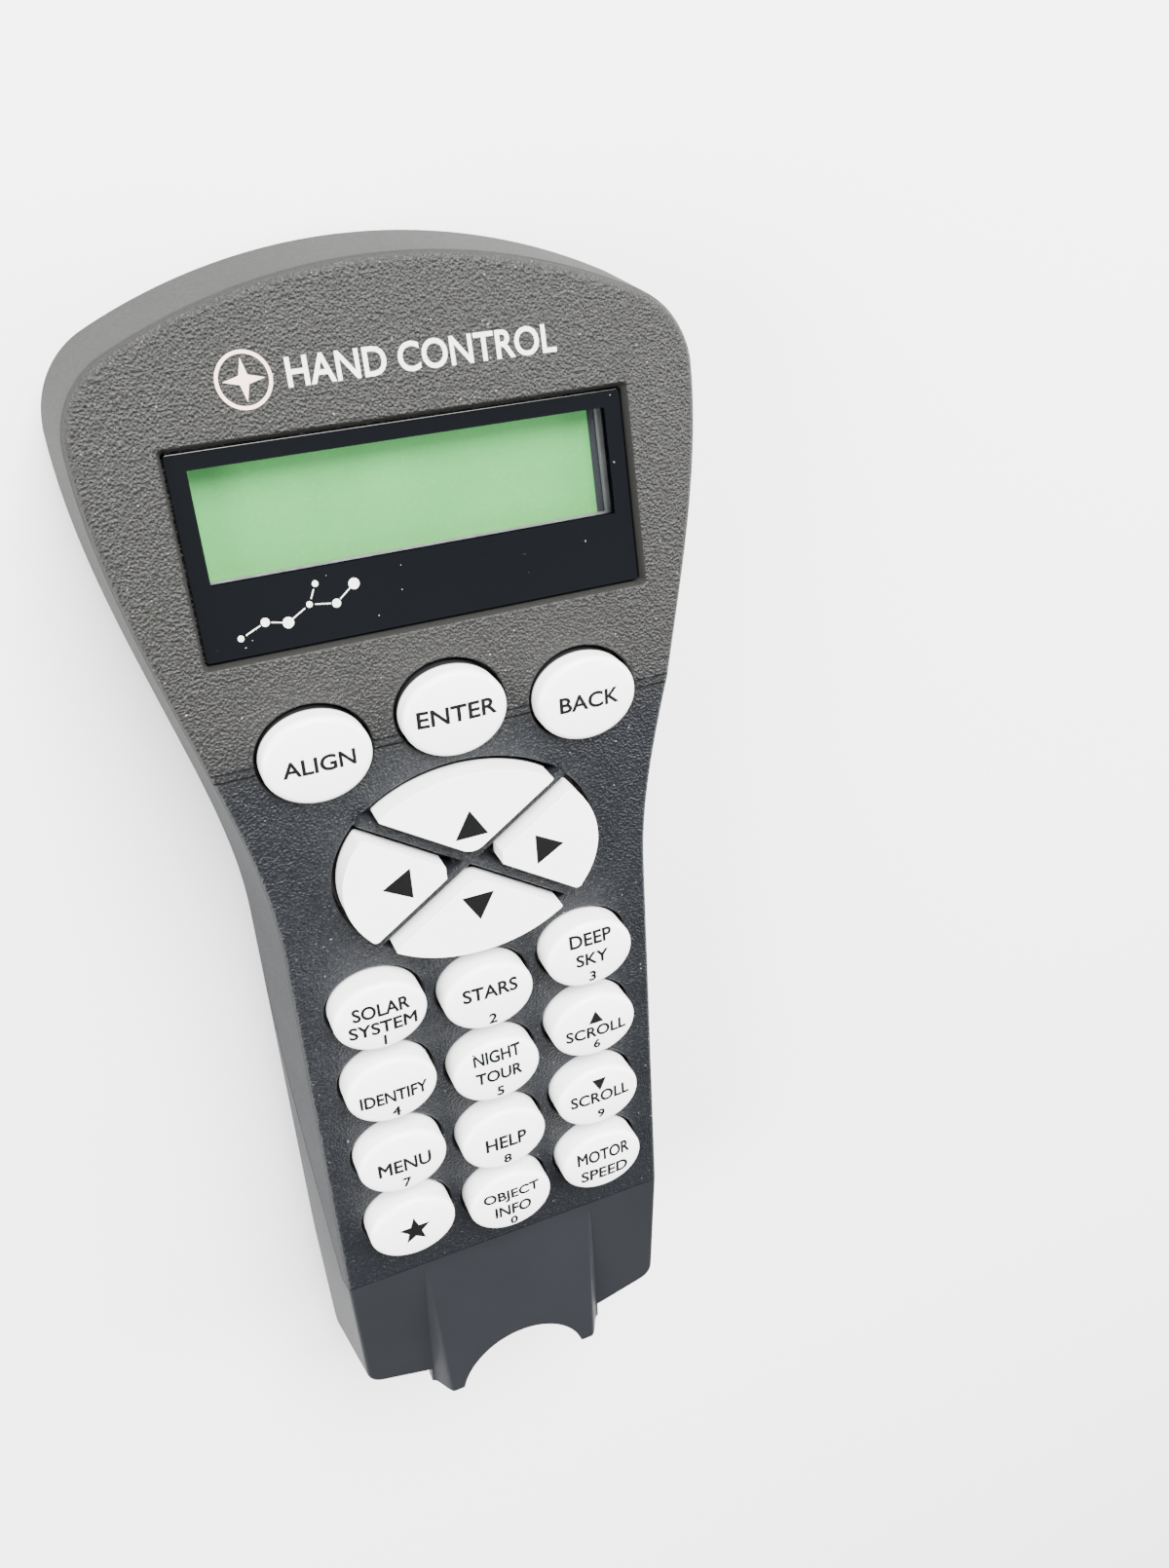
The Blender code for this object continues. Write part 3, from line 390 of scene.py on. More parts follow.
def ring_walls(rings):
    """The four-sided faces between each closed ring of points and the next."""
    count = len(rings[0])
    faces = []
    for start in range(0, (len(rings) - 1) * count, count):
        for i in range(count):
            j = (i + 1) % count
            faces.append((start + i, start + j, start + count + j, start + count + i))
    return faces


def mirrored_ring(right):
    """A closed ring from its right half, given from one end to the other."""
    return right + [(-x, y, z) for x, y, z in reversed(right)]


@contextlib.contextmanager
def editing(obj, action="DESELECT"):
    """Opens a piece in edit mode with nothing selected, or everything, and closes it again."""
    select_only(obj)
    bpy.ops.object.mode_set(mode="EDIT")
    bpy.ops.mesh.select_all(action=action)
    yield
    bpy.ops.object.mode_set(mode="OBJECT")


def pick_faces(obj, test):
    """In edit mode, selects the faces that a test of their middle and normal passes."""
    bpy.ops.mesh.select_mode(type="FACE")
    mesh = bmesh.from_edit_mesh(obj.data)
    for face in mesh.faces:
        face.select_set(test(face.calc_center_median(), face.normal))
    bmesh.update_edit_mesh(obj.data)


def facing_up(middle, normal):
    return normal.z > 0.9


def facing_down(middle, normal):
    return normal.z < -0.9


def round_edges(obj, test, radius, segments, **more):
    """In edit mode, bevels the edges that a test of the edge passes."""
    bpy.ops.mesh.select_mode(type="EDGE")
    mesh = bmesh.from_edit_mesh(obj.data)
    for edge in mesh.edges:
        edge.select_set(test(edge))
    bmesh.update_edit_mesh(obj.data)
    bpy.ops.mesh.bevel(offset=radius, segments=segments, **more)


def along(edge):
    return (edge.verts[1].co - edge.verts[0].co).normalized()


def lengthwise(edge):
    return abs(along(edge).y) > 0.99


def upright(edge, least_angle=30.0):
    """True for an edge along Z between two faces that turn by more than the least angle, in degrees."""
    return abs(along(edge).z) > 0.99 and len(edge.link_faces) == 2 and (
        edge.calc_face_angle() > math.radians(least_angle))


def at_height(z):
    """A test for the edges that lie level at a height."""
    return lambda edge: all(abs(vert.co.z - z) < HAIR for vert in edge.verts)


def push(x, y, z):
    bpy.ops.mesh.extrude_region_move(TRANSFORM_OT_translate={"value": (x, y, z)})


def push_up(distance):
    push(0.0, 0.0, distance)


def resize(x, y, centre):
    bpy.ops.transform.resize(value=(x, y, 1.0), center_override=(centre[0], centre[1], 0.0))


def apply_modifier(obj, kind, **settings):
    select_only(obj)
    step = obj.modifiers.new(kind.title(), kind)
    for key, value in settings.items():
        setattr(step, key, value)
    bpy.ops.object.modifier_apply(modifier=step.name)


def boolean(obj, tools, operation="DIFFERENCE"):
    """Cuts with each tool, or joins or keeps what is shared, and removes the tools."""
    for tool in tools:
        apply_modifier(obj, "BOOLEAN", object=tool, operation=operation, solver="EXACT")
        bpy.data.meshes.remove(tool.data)


def join(name, objects):
    select_only(*objects)
    bpy.ops.object.join()
    return named(name)


def copy_of(obj, name, shift=(0.0, 0.0, 0.0)):
    made = bpy.data.objects.new(name, obj.data.copy())
    made.data.name = name
    made.data.transform(Matrix.Translation(shift))
    bpy.context.scene.collection.objects.link(made)
    return made


def settle(obj, finish, body, slot, *nodes, angle=35.0, weighted=True):
    """Shades a piece, gives it its finish, ties it to its body and hides the nodes it stands for."""
    select_only(obj)
    bpy.ops.object.shade_smooth_by_angle(angle=math.radians(angle))
    if weighted:
        apply_modifier(obj, "WEIGHTED_NORMAL", keep_sharp=True, weight=90)
    obj.data.materials.clear()
    obj.data.materials.append(finishes()[finish])
    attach(obj, body)
    if nodes:
        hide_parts(*nodes)
    return obj


def middle_of(node):
    low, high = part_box(node)
    return (low + high) / 2


# The case's outline and heights.

def face_z(y):
    """Height of the outer face: level over the keys, tilted back on the head, a little lower on the chin."""
    if y > BEND_Y:
        return FACE_Z - (y - BEND_Y) * math.tan(HEAD_TILT)
    if y < CREASE_Y:
        return FACE_Z - CHIN_DROP * (CREASE_Y - y) / CHIN_LENGTH
    return FACE_Z


def back_z(y):
    """Height of the outer back: a shallow hollow for the fingers between the head and the chin."""
    middle = (BEND_Y + CREASE_Y) / 2
    away = min(abs(y - middle) / (BEND_Y - middle), 1.0)
    return GRIP_HOLLOW * (0.5 + 0.5 * math.cos(math.pi * away))


def widest_z(y):
    return max(face_z(y) - WIDEST_DEPTH, back_z(y) + LEAST_BACK)


def steps(start, end, count):
    """Evenly spaced values from the start to the end, both included."""
    return [start + (end - start) * i / (count - 1) for i in range(count)]


def from_handle_to_head(y, handle, head):
    """A value that holds along the handle and then follows an S curve to its value on the head."""
    along = min(max((y - NECK_Y) / (SHOULDER_Y - NECK_Y), 0.0), 1.0)
    return handle + (head - handle) * along * along * (3 - 2 * along)


def side_flare(y):
    return from_handle_to_head(y, SIDE_FLARE, HEAD_FLARE)


def right_edge(lower_end):
    """The face's right edge from its lower end to the top of the arch, as points."""
    lean = math.atan2(SHOULDER_X, SHOULDER_Y - ARCH_Y)
    points = list(lower_end)
    for y in (CREASE_Y, *steps(CREASE_Y, NECK_Y, 12)[1:]):
        if y > points[-1][1] + GAP:
            points.append((HANDLE_HALF, y))
    for y in (*steps(NECK_Y, BEND_Y, 15)[1:], *steps(BEND_Y, SHOULDER_Y, 21)[1:]):
        points.append((from_handle_to_head(y, HANDLE_HALF, HEAD_HALF), y))
    for turn in steps(0, math.pi / 2 - lean, 19)[1:]:
        points.append((SHOULDER_X + SHOULDER_RADIUS * math.cos(turn),
                       SHOULDER_Y + SHOULDER_RADIUS * math.sin(turn)))
    for turn in steps(lean, 0, 25)[1:-1]:
        points.append((ARCH_RADIUS * math.sin(turn), ARCH_Y + ARCH_RADIUS * math.cos(turn)))
    return points


def outward(points):
    """The outward direction at each point of a right edge, scaled so that straight runs offset evenly."""
    mirrored = [(-points[0][0], points[0][1]), *points, (-points[-1][0], points[-1][1])]
    found = []
    for before, here, after in zip(mirrored, mirrored[1:], mirrored[2:]):
        first = Vector((here[1] - before[1], before[0] - here[0])).normalized()
        second = Vector((after[1] - here[1], here[0] - after[0])).normalized()
        middle = (first + second).normalized()
        found.append(middle / max(middle.dot(first), 0.5))
    return found


def rounded_corner(before, corner, after, radius):
    """Points of a smooth curve across a corner, from the side of the first point to that of the last."""
    before, corner, after = Vector(before), Vector(corner), Vector(after)
    first = corner + (before - corner).normalized() * radius
    last = corner + (after - corner).normalized() * radius
    curve = [first.lerp(corner, t).lerp(corner.lerp(last, t), t) for t in steps(0, 1, 7)]
    return [tuple(point) for point in curve]


def case_block(name, lower_end, profile, end_rounds):
    """A solid on the case's outline. Each profile entry is a flare, an inset and a height, all by y."""
    points = right_edge(lower_end)
    normals = outward(points)
    rings = []
    for flare, inset, height in profile:
        right = []
        for (x, y), normal in zip(points, normals):
            lengthwise = flare(y) if y > CREASE_Y else 0.0
            new_y = y + normal.y * (lengthwise - inset(y)) if end_rounds or y > CREASE_Y else y
            right.append((x + normal.x * (flare(y) - inset(y)), new_y, height(new_y)))
        rings.append(mirrored_ring(right))
    count = len(rings[0])
    faces = ring_walls(rings)
    for row in (0, len(rings) - 1):
        for i in range(count // 2 - 1):
            strip = [row * count + k for k in (i, i + 1, count - 2 - i, count - 1 - i)]
            faces.append(strip if row == 0 else strip[::-1])
    made = add_solid(name, [point for ring in rings for point in ring], faces)
    with editing(made, "SELECT"):
        bpy.ops.mesh.dissolve_limited(angle_limit=math.radians(0.05))
    return made


def round_back(count, wall):
    """The back's rounding, as profile entries from the widest line down to the flat back."""
    entries = []
    for turn in steps(0, math.pi / 2, count):
        left_to_fall = 1 - math.sin(turn)

        def height(y, left_to_fall=left_to_fall):
            bottom = back_z(y) + wall
            return bottom + (widest_z(y) - bottom) * left_to_fall

        entries.append((side_flare, lambda y, turn=turn: wall + BACK_INSET * (1 - math.cos(turn)), height))
    return entries


def outer_block(name, settings):
    def radius(y):
        return from_handle_to_head(y, settings.edge_round, settings.head_round)

    profile = []
    for turn in steps(0, math.pi / 2, 8):
        profile.append((lambda y: 0.0, lambda y, turn=turn: radius(y) * (1 - math.sin(turn)),
                        lambda y, turn=turn: face_z(y) - radius(y) * (1 - math.cos(turn))))
    foot = (CHIN_CORNER[0], SIDE_END_Y - CHIN_CORNER[1])
    corner = (HANDLE_HALF - CHIN_TAPER, SIDE_END_Y)
    lower_end = [foot, *rounded_corner(foot, corner, (HANDLE_HALF, CREASE_Y), settings.corner_round)]
    return case_block(name, lower_end, profile + round_back(14, 0.0), True)


def inner_block(name):
    top = (lambda y: 0.0, lambda y: WALL, lambda y: face_z(y) - WALL / math.cos(HEAD_TILT))
    return case_block(name, ((HANDLE_HALF, BAY_WALL_Y + WALL),), [top] + round_back(10, WALL), False)


def parting_block(name, drop, above):
    """Everything above the parting line, or everything below it."""
    line = []
    for y in (*steps(CREASE_Y, CREASE_Y + SKIRT_RUN, 25), BEND_Y, 2 * ARCH_RADIUS):
        along = min((y - CREASE_Y) / SKIRT_RUN, 1.0)
        deep = SKIRT_AT_CREASE + (SKIRT_DEPTH - SKIRT_AT_CREASE) * math.sin(along * math.pi / 2)
        line.append((y, face_z(y) - deep - drop))
    top, far = 2 * FACE_Z, 2 * ARCH_RADIUS
    if above:
        outline = [(CREASE_Y, top), *line, (far, top)]
    else:
        line[0] = (CREASE_Y - GAP, line[0][1])
        outline = [*line, (far, -FACE_Z), (-far, -FACE_Z), (-far, top), (CREASE_Y - GAP, top)]
    count = len(outline)
    points = [(x, y, z) for x in (-far, far) for y, z in outline]
    faces = [tuple(range(count)), tuple(range(2 * count - 1, count - 1, -1))]
    faces += [(i, i + count, (i + 1) % count + count, (i + 1) % count) for i in range(count)]
    return add_solid(name, points, faces)


def flare_top(obj, lip, half, centre):
    """Opens a cutter's top face into a rounded lip that ends at the face, and carries it on upwards."""
    with editing(obj):
        pick_faces(obj, facing_up)
        turns = steps(0, math.pi / 2, 6)
        for before, turn in zip(turns, turns[1:]):
            last_wide, wide = lip * (1 - math.cos(before)), lip * (1 - math.cos(turn))
            push_up(lip * (math.sin(turn) - math.sin(before)))
            resize(*((size + wide) / (size + last_wide) for size in half), centre)
        push_up(WALL)
    for vert in obj.data.vertices:
        if vert.co.z > FACE_Z - lip - HAIR:
            vert.co.z += face_z(vert.co.y) - FACE_Z
    return obj


def key_hole(name, lip):
    centre = middle_of(name).xy
    half = TOP_KEY_HALF if name in TOP_KEYS else KEY_HALF
    half = [size + KEY_CLEARANCE for size in half]
    hole = add_oval(name + "_hole", centre, half, FACE_Z - 3 * WALL, FACE_Z - lip)
    return flare_top(hole, lip, half, centre)


def pad_sector(name, quarter, clearance, low, high, corners):
    """One quarter of the oval between two ribs: an oval cylinder cut by the ribs' planes.

    The corners are the radius of the two outer ones and the cut of the toe, where the ribs meet.
    """
    corner_round, toe_cut = corners
    half = [size - clearance for size in PAD_HALF]
    sector = add_oval(name, PAD_CENTRE, half, low, high, 96)
    facing = quarter * math.pi / 2
    open_half = math.pi / 2 - RIB_RISE if quarter % 2 else RIB_RISE
    for side in (-1, 1):
        angle = facing + side * open_half
        normal = Vector((math.sin(angle), -math.cos(angle), 0.0)) * side
        point = Vector((*PAD_CENTRE, 0.0)) + normal * (RIB_HALF + clearance)
        with editing(sector, "SELECT"):
            bpy.ops.mesh.bisect(plane_co=point, plane_no=normal, use_fill=True, clear_inner=True,
                                clear_outer=False)

    def reach(edge):
        return (edge.verts[0].co.xy - Vector(PAD_CENTRE)).length

    with editing(sector):
        round_edges(sector, lambda edge: upright(edge) and reach(edge) < PAD_TOE_REACH,
                    toe_cut, 6 if quarter % 2 else 1, clamp_overlap=True)
        round_edges(sector, lambda edge: upright(edge, 50) and reach(edge) > PAD_CORNER_REACH,
                    corner_round, 4, clamp_overlap=True)
    return sector


def pad_hole(name, quarter, lip):
    sector = pad_sector(name + "_hole", quarter, 0.0, FACE_Z - 3 * WALL, FACE_Z - lip, PAD_HOLE_CORNERS)
    centre = middle_of(name).xy
    low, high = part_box(name)
    return flare_top(sector, lip, ((high.x - low.x) / 2, (high.y - low.y) / 2), centre)


class CONTROLLER_OT_front_cover(bpy.types.Operator):
    """Model the textured front cover with its key holes, ribs, window pocket and fine grooves"""

    bl_idname = "controller.front_cover"
    bl_label = "Front Cover"

    def execute(self, context):
        settings = context.scene.controller_case
        lip = settings.lip_round
        cover = outer_block("front_cover_shell", settings)
        boolean(cover, [inner_block("front_hollow")])
        boolean(cover, [parting_block("front_part", 0.0, True)], "INTERSECT")
        boolean(cover, self.posts(), "UNION")
        wide = WINDOW_HALF + WALL
        seat = add_box("display_seat", (-wide, WINDOW_LOW - WALL, -(WINDOW_SINK + WINDOW_THICK + 1.3 * MM)),
                       (wide, WINDOW_HIGH + WALL, -WALL / 2))
        boolean(cover, [to_head(seat)], "UNION")
        boolean(cover, [self.pocket(lip), self.opening()])
        holes = [key_hole(name, lip) for name in ROUND_KEYS + TOP_KEYS]
        holes += [pad_hole(name, quarter, lip) for quarter, name in enumerate(PAD_KEYS)]
        boolean(cover, [join("key_holes", holes)])
        boolean(cover, self.ribs(), "UNION")
        reach = 2 * HEAD_HALF
        for side in (-1, 1):
            middle = BEND_Y + side * settings.groove_spread / 2
            low, high = middle - settings.groove_width / 2, middle + settings.groove_width / 2
            boolean(cover, [add_box("groove", (-reach, low, FACE_Z - 0.42 * MM), (reach, high, 2 * FACE_Z))])
        settle(cover, "face", "case", "textured_plastic", "front_cover")
        return {"FINISHED"}

    def posts(self):
        """The posts under the face that take the case and board screws."""
        posts = []
        for name in frame["nodes"]:
            for kind, (wall, bare_share) in SCREW_POSTS.items():
                if name.startswith(kind):
                    low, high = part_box(name)
                    radius = (high.x - low.x) / 4 + wall
                    foot = low.z + (high.z - low.z) * bare_share
                    centre = middle_of(name)
                    posts.append(add_oval(name + "_post", centre.xy, (radius, radius), foot,
                                          face_z(centre.y) - WALL / 2, 24))
        return posts

    def ribs(self):
        """The two ribs that cross between the direction keys, a little proud of the face."""
        made = []
        for turn in (RIB_RISE, -RIB_RISE):
            half, top = RIB_HALF - 0.05 * MM, FACE_Z + RIB_PROUD
            rib = add_box("pad_rib", (-RIB_REACH, -half, FACE_Z - WALL / 2), (RIB_REACH, half, top))
            with editing(rib):
                round_edges(rib, at_height(top), RIB_ROUND, 3)
            rib.data.transform(Matrix.Translation((*PAD_CENTRE, 0.0)) @ Matrix.Rotation(turn, 4, "Z"))
            made.append(rib)
        return made

    def pocket(self, lip):
        """The pocket that holds the window, with sloping sides and a rounded lip."""
        deep = WINDOW_SINK + WINDOW_THICK + GAP
        pocket = add_box("window_pocket", (-WINDOW_HALF - GAP, WINDOW_LOW - GAP, -deep),
                         (WINDOW_HALF + GAP, WINDOW_HIGH + GAP, -WINDOW_SINK))
        centre = (0.0, (WINDOW_LOW + WINDOW_HIGH) / 2)
        with editing(pocket):
            round_edges(pocket, upright, 0.5 * MM, 4)
            pick_faces(pocket, facing_up)
            half_x, half_y = WINDOW_HALF + GAP, (WINDOW_HIGH - WINDOW_LOW) / 2 + GAP
            for rise, grow in ((WINDOW_SINK - lip, 0.3 * MM), (lip * 0.7, 0.1 * MM), (lip * 0.3, 0.2 * MM)):
                push_up(rise)
                resize((half_x + grow) / half_x, (half_y + grow) / half_y, centre)
                half_x, half_y = half_x + grow, half_y + grow
            push_up(WALL)
        return to_head(pocket)

    def opening(self):
        """The opening behind the window, through which the display is seen."""
        high = -(WINDOW_SINK + WINDOW_THICK)
        wide = VIEW_HALF + VIEW_MARGIN
        return to_head(add_box("view_opening", (-wide, VIEW_LOW - VIEW_MARGIN, high - 4 * MM),
                               (wide, VIEW_HIGH + VIEW_MARGIN, high)))


class CONTROLLER_OT_rear_cover(bpy.types.Operator):
    """Model the smooth rear cover with its chin, tongue, thumb notch, connector bay and screw sinks"""

    bl_idname = "controller.rear_cover"
    bl_label = "Rear Cover"

    def execute(self, context):
        settings = context.scene.controller_case
        cover = outer_block("rear_cover_shell", settings)
        boolean(cover, [self.tongue()], "UNION")
        boolean(cover, [inner_block("rear_hollow")])
        boolean(cover, [parting_block("rear_part", GAP, False)], "INTERSECT")
        boolean(cover, self.columns(), "UNION")
        boolean(cover, self.sinks() + self.bay() + [self.label_pocket()])
        settle(cover, "rear", "case", "smooth_plastic", "rear_cover")
        return {"FINISHED"}

    def tongue(self):
        """The raised block on the chin. Its flanks leave the chin in a hollow curve and end proud."""
        low_z = FACE_Z - CHIN_DROP - 2 * WALL
        across = []
        for share in steps(0, 1, 9):
            across.append((share, share * share * (3 - 2 * share)))
        rings = []
        for along in steps(0, 1, 13):
            y = CREASE_Y - GAP + (END_Y - CREASE_Y + GAP) * along
            base = face_z(y) - 0.15 * MM
            top = FACE_Z + TONGUE_RISE * along - 0.05 * MM
            narrow = TONGUE_HALF - TONGUE_RISE * along
            flank = TONGUE_FLANK * (0.35 + 0.65 * along)
            ring = [(narrow + flank * (1 - share), y, base + (top - base) * height)
                    for share, height in across]
            rings.append(mirrored_ring([(narrow + flank, y, low_z), *ring]))
        count = len(rings[0])
        points = [point for ring in rings for point in ring]
        ends = [tuple(range(count)), tuple(reversed(range(len(points) - count, len(points))))]
        made = add_solid("tongue", points, ends + ring_walls(rings))

        def round_the_end(edge):
            return all(vert.co.y < END_Y + HAIR and vert.co.z > low_z + 1.0 * MM for vert in edge.verts)

        with editing(made):
            round_edges(made, round_the_end, TONGUE_ROUND, 4, clamp_overlap=True)
        return made

    def columns(self):
        """The columns inside the back that the case screws pass through."""
        made = []
        for name in CASE_SCREWS:
            low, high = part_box(name)
            top = low.z + (high.z - low.z) * COLUMN_SHARE
            made.append(add_oval(name + "_column", middle_of(name).xy, COLUMN_HALF, WALL / 2, top, 32))
        return made

    def sinks(self):
        """The screws' clearance holes and the flared sinks for their heads."""
        made = []
        chamfer = 0.3 * MM
        for name in CASE_SCREWS:
            low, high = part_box(name)
            centre = middle_of(name).xy
            made.append(add_oval(name + "_clearance", centre, SHANK_ROOM_HALF, -WALL, high.z, 32))
            sink = add_oval(name + "_sink", centre, SINK_HALF, back_z(centre.y) + chamfer,
                            low.z + SCREW_HEAD_HIGH + GAP, 48)
            with editing(sink):
                pick_faces(sink, facing_down)
                push_up(-chamfer)
                resize(1.12, 1.12, centre)
                push_up(-WALL)
            made.append(sink)
        return made

    def bay(self):
        """The open-ended bay, the room under the tongue, the notch for a thumb and the sockets' seats."""
        end = END_Y - WALL
        roof = FACE_Z - BAY_ROOF
        thumb = TONGUE_HALF - WALL
        space = add_box("bay_space", (-BAY_HALF, end, BAY_FLOOR), (BAY_HALF, BAY_WALL_Y, roof))
        under = add_box("bay_under_tongue", (-thumb, end, BAY_FLOOR + WALL),
                        (thumb, BAY_WALL_Y - GAP, FACE_Z - WALL))
        for tool in (space, under):
            with editing(tool):
                round_edges(tool, lengthwise, BAY_ROUND, 5)
        centre = (0.0, END_Y + NOTCH_DEPTH - NOTCH_RADIUS)
        top = FACE_Z + TONGUE_RISE * 0.86
        notch = add_oval("thumb_notch", centre, (NOTCH_RADIUS, NOTCH_RADIUS), roof - WALL,
                         top - 0.5 * MM, 96)
        with editing(notch):
            pick_faces(notch, facing_up)
            for rise, grow in ((0.25 * MM, 1.006), (0.17 * MM, 1.013), (0.08 * MM, 1.025), (WALL, 1.2)):
                push_up(rise)
                resize(grow, grow, centre)
        seats = []
        for name in ("cord_jack", "data_port"):
            low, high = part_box(name)
            seats.append(add_box(name + "_seat", (low.x - GAP, BAY_WALL_Y - WALL, low.z - GAP),
                                 (high.x + GAP, BAY_WALL_Y + 2 * WALL, high.z + GAP)))
        return [space, under, notch, *seats]

    def label_pocket(self):
        low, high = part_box("rear_label")
        pocket = add_box("label_pocket", (low.x - GAP, low.y - GAP, -WALL),
                         (high.x + GAP, high.y + GAP, high.z + GAP))
        with editing(pocket):
            round_edges(pocket, upright, LABEL_POCKET_ROUND, 6)
        return pocket


class CONTROLLER_OT_oval_keys(bpy.types.Operator):
    """Model the round keys and the three upper keys, domed and flanged"""

    bl_idname = "controller.oval_keys"
    bl_label = "Round Keys"

    def execute(self, context):
        settings = context.scene.controller_keys
        for group, half in ((ROUND_KEYS, KEY_HALF), (TOP_KEYS, TOP_KEY_HALF)):
            first = self.model(group[0], half, settings)
            centre = middle_of(group[0])
            for name in group:
                shift = middle_of(name) - centre
                shift.z = 0.0
                key = copy_of(first, name + "_cap", shift)
                settle(key, "key", name, "key_plastic", name, weighted=False)
            bpy.data.meshes.remove(first.data)
        return {"FINISHED"}

    def model(self, name, half, settings):
        low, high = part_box(name)
        centre = middle_of(name).xy
        flange = FACE_Z - WALL - GAP - (1.4 * MM if name in TOP_KEYS else 0.0)
        rim = high.z - settings.crown - INK_ROOM
        key = add_oval("oval_key", centre, half, flange, rim, 72)
        with editing(key):
            round_edges(key, at_height(rim), settings.rim_round, 9, profile=0.5)
            pick_faces(key, lambda middle, normal: middle.z > rim - HAIR)
            rings = 9
            for ring in range(1, rings):
                push_up(settings.crown * (2 * (rings - ring) - 1) / (rings - 1) ** 2)
                shrink = (rings - ring) / (rings - ring + 1)
                resize(shrink, shrink, centre)
            pick_faces(key, facing_down)
            push_up(0.0)
            resize(*((size + FLANGE_WIDE) / size for size in half), centre)
            push_up(-FLANGE_THICK)
            if flange - FLANGE_THICK - low.z > GAP:
                push_up(0.0)
                resize(0.66, 0.6, centre)
                push_up(low.z - flange + FLANGE_THICK)
        return key


class CONTROLLER_OT_pad_keys(bpy.types.Operator):
    """Model the four direction keys between the ribs"""

    bl_idname = "controller.pad_keys"
    bl_label = "Direction Keys"

    def execute(self, context):
        settings = context.scene.controller_keys
        for quarter, name in enumerate(PAD_KEYS):
            low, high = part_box(name)
            flange = FACE_Z - WALL - GAP
            top = high.z - INK_ROOM
            key = pad_sector(name + "_cap", quarter, PAD_CLEARANCE, flange, top, PAD_KEY_CORNERS)
            centre = middle_of(name)
            with editing(key):
                round_edges(key, at_height(top), settings.pad_round, 6, profile=0.5, clamp_overlap=True)
                pick_faces(key, facing_down)
                push_up(0.0)
                resize(1.05, 1.05, centre)
                push_up(-FLANGE_THICK)
                push_up(0.0)
                resize(0.55, 0.55, centre)
                push_up(low.z - flange + FLANGE_THICK)
            settle(key, "key", name, "key_plastic", name)
        return {"FINISHED"}


class CONTROLLER_OT_legends(bpy.types.Operator):
    """Print the keys' legends, arrows and star on their tops"""

    bl_idname = "controller.legends"
    bl_label = "Key Legends"

    def execute(self, context):
        thick = context.scene.controller_keys.ink_thick
        for name, lines in LEGENDS.items():
            middle = middle_of(name)
            marks = []
            for words, wide, tall, up in lines:
                line = text_mesh("legend", words, wide * MM, tall * MM)
                line.data.transform(Matrix.Translation((middle.x, middle.y + up * MM, 0.0)))
                marks.append(line)
            if name in SCROLL_ARROWS:
                up, turn = SCROLL_ARROWS[name]
                marks.append(add_arrow((middle.x, middle.y + up * MM), SCROLL_ARROW_RADIUS, turn))
            self.drape(marks, name, thick)
        star = add_star("star", KEY_STAR_RADIUS, 5, 0.42, middle_of("option_key").xy)
        self.drape([star], "option_key", thick)
        for quarter, name in enumerate(PAD_KEYS):
            away = PAD_ARROW_ALONG if quarter % 2 else PAD_ARROW_ACROSS
            turn = quarter * math.pi / 2
            centre = (PAD_CENTRE[0] + away * math.cos(turn), PAD_CENTRE[1] + away * math.sin(turn))
            self.drape([add_arrow(centre, PAD_ARROW_RADIUS, turn)], name, thick)
        return {"FINISHED"}

    def drape(self, marks, name, thick):
        """Lays flat marks on the key's top and gives the ink its thickness."""
        made = join(name + "_legend", marks)
        made.data.transform(Matrix.Translation((0.0, 0.0, FACE_Z + 10 * MM)))
        with editing(made, "SELECT"):
            bpy.ops.mesh.quads_convert_to_tris()
            bpy.ops.mesh.subdivide(number_cuts=2)
        cap = bpy.data.objects[name + "_cap"]
        apply_modifier(made, "SHRINKWRAP", target=cap, wrap_method="PROJECT", use_project_z=True,
                       use_negative_direction=True, use_positive_direction=False, offset=1.5 * thick)
        apply_modifier(made, "SOLIDIFY", thickness=thick, offset=-1.0)
        settle(made, "ink", name, "black_component", weighted=False)


def text_mesh(name, words, wide, tall):
    """A line of capitals of a given size, as a flat mesh about the origin."""
    select_only()
    bpy.ops.object.text_add()
    made = named(name)
    made.data.body = words
    made.data.resolution_u = 4
    bpy.ops.object.convert(target="MESH")
    made = bpy.context.object
    across = [vert.co.x for vert in made.data.vertices]
    up = [vert.co.y for vert in made.data.vertices]
    grow_up = tall / (max(up) - min(up))
    grow_across = wide / (max(across) - min(across)) if wide else grow_up
    middle = Vector(((min(across) + max(across)) / 2, (min(up) + max(up)) / 2, 0.0))
    made.data.transform(Matrix.Diagonal((grow_across, grow_up, 1.0, 1.0)) @ Matrix.Translation(-middle))
    embolden(made, STROKE_GROWTH)
    return made


def embolden(obj, distance):
    """Moves a flat mesh's outline outwards, which makes its strokes bolder."""
    mesh = bmesh.new()
    mesh.from_mesh(obj.data)
    sides = {}
    for edge in mesh.edges:
        if edge.is_boundary:
            run = edge.verts[1].co - edge.verts[0].co
            side = Vector((run.y, -run.x, 0.0)).normalized()
            if side.dot(edge.link_faces[0].calc_center_median() - edge.verts[0].co) > 0:
                side = -side
            for vert in edge.verts:
                sides.setdefault(vert, []).append(side)
    for vert, around in sides.items():
        outwards = sum(around, Vector((0.0, 0.0, 0.0))).normalized()
        vert.co += outwards * distance / max(outwards.dot(around[0]), 0.6)
    mesh.to_mesh(obj.data)
    mesh.free()


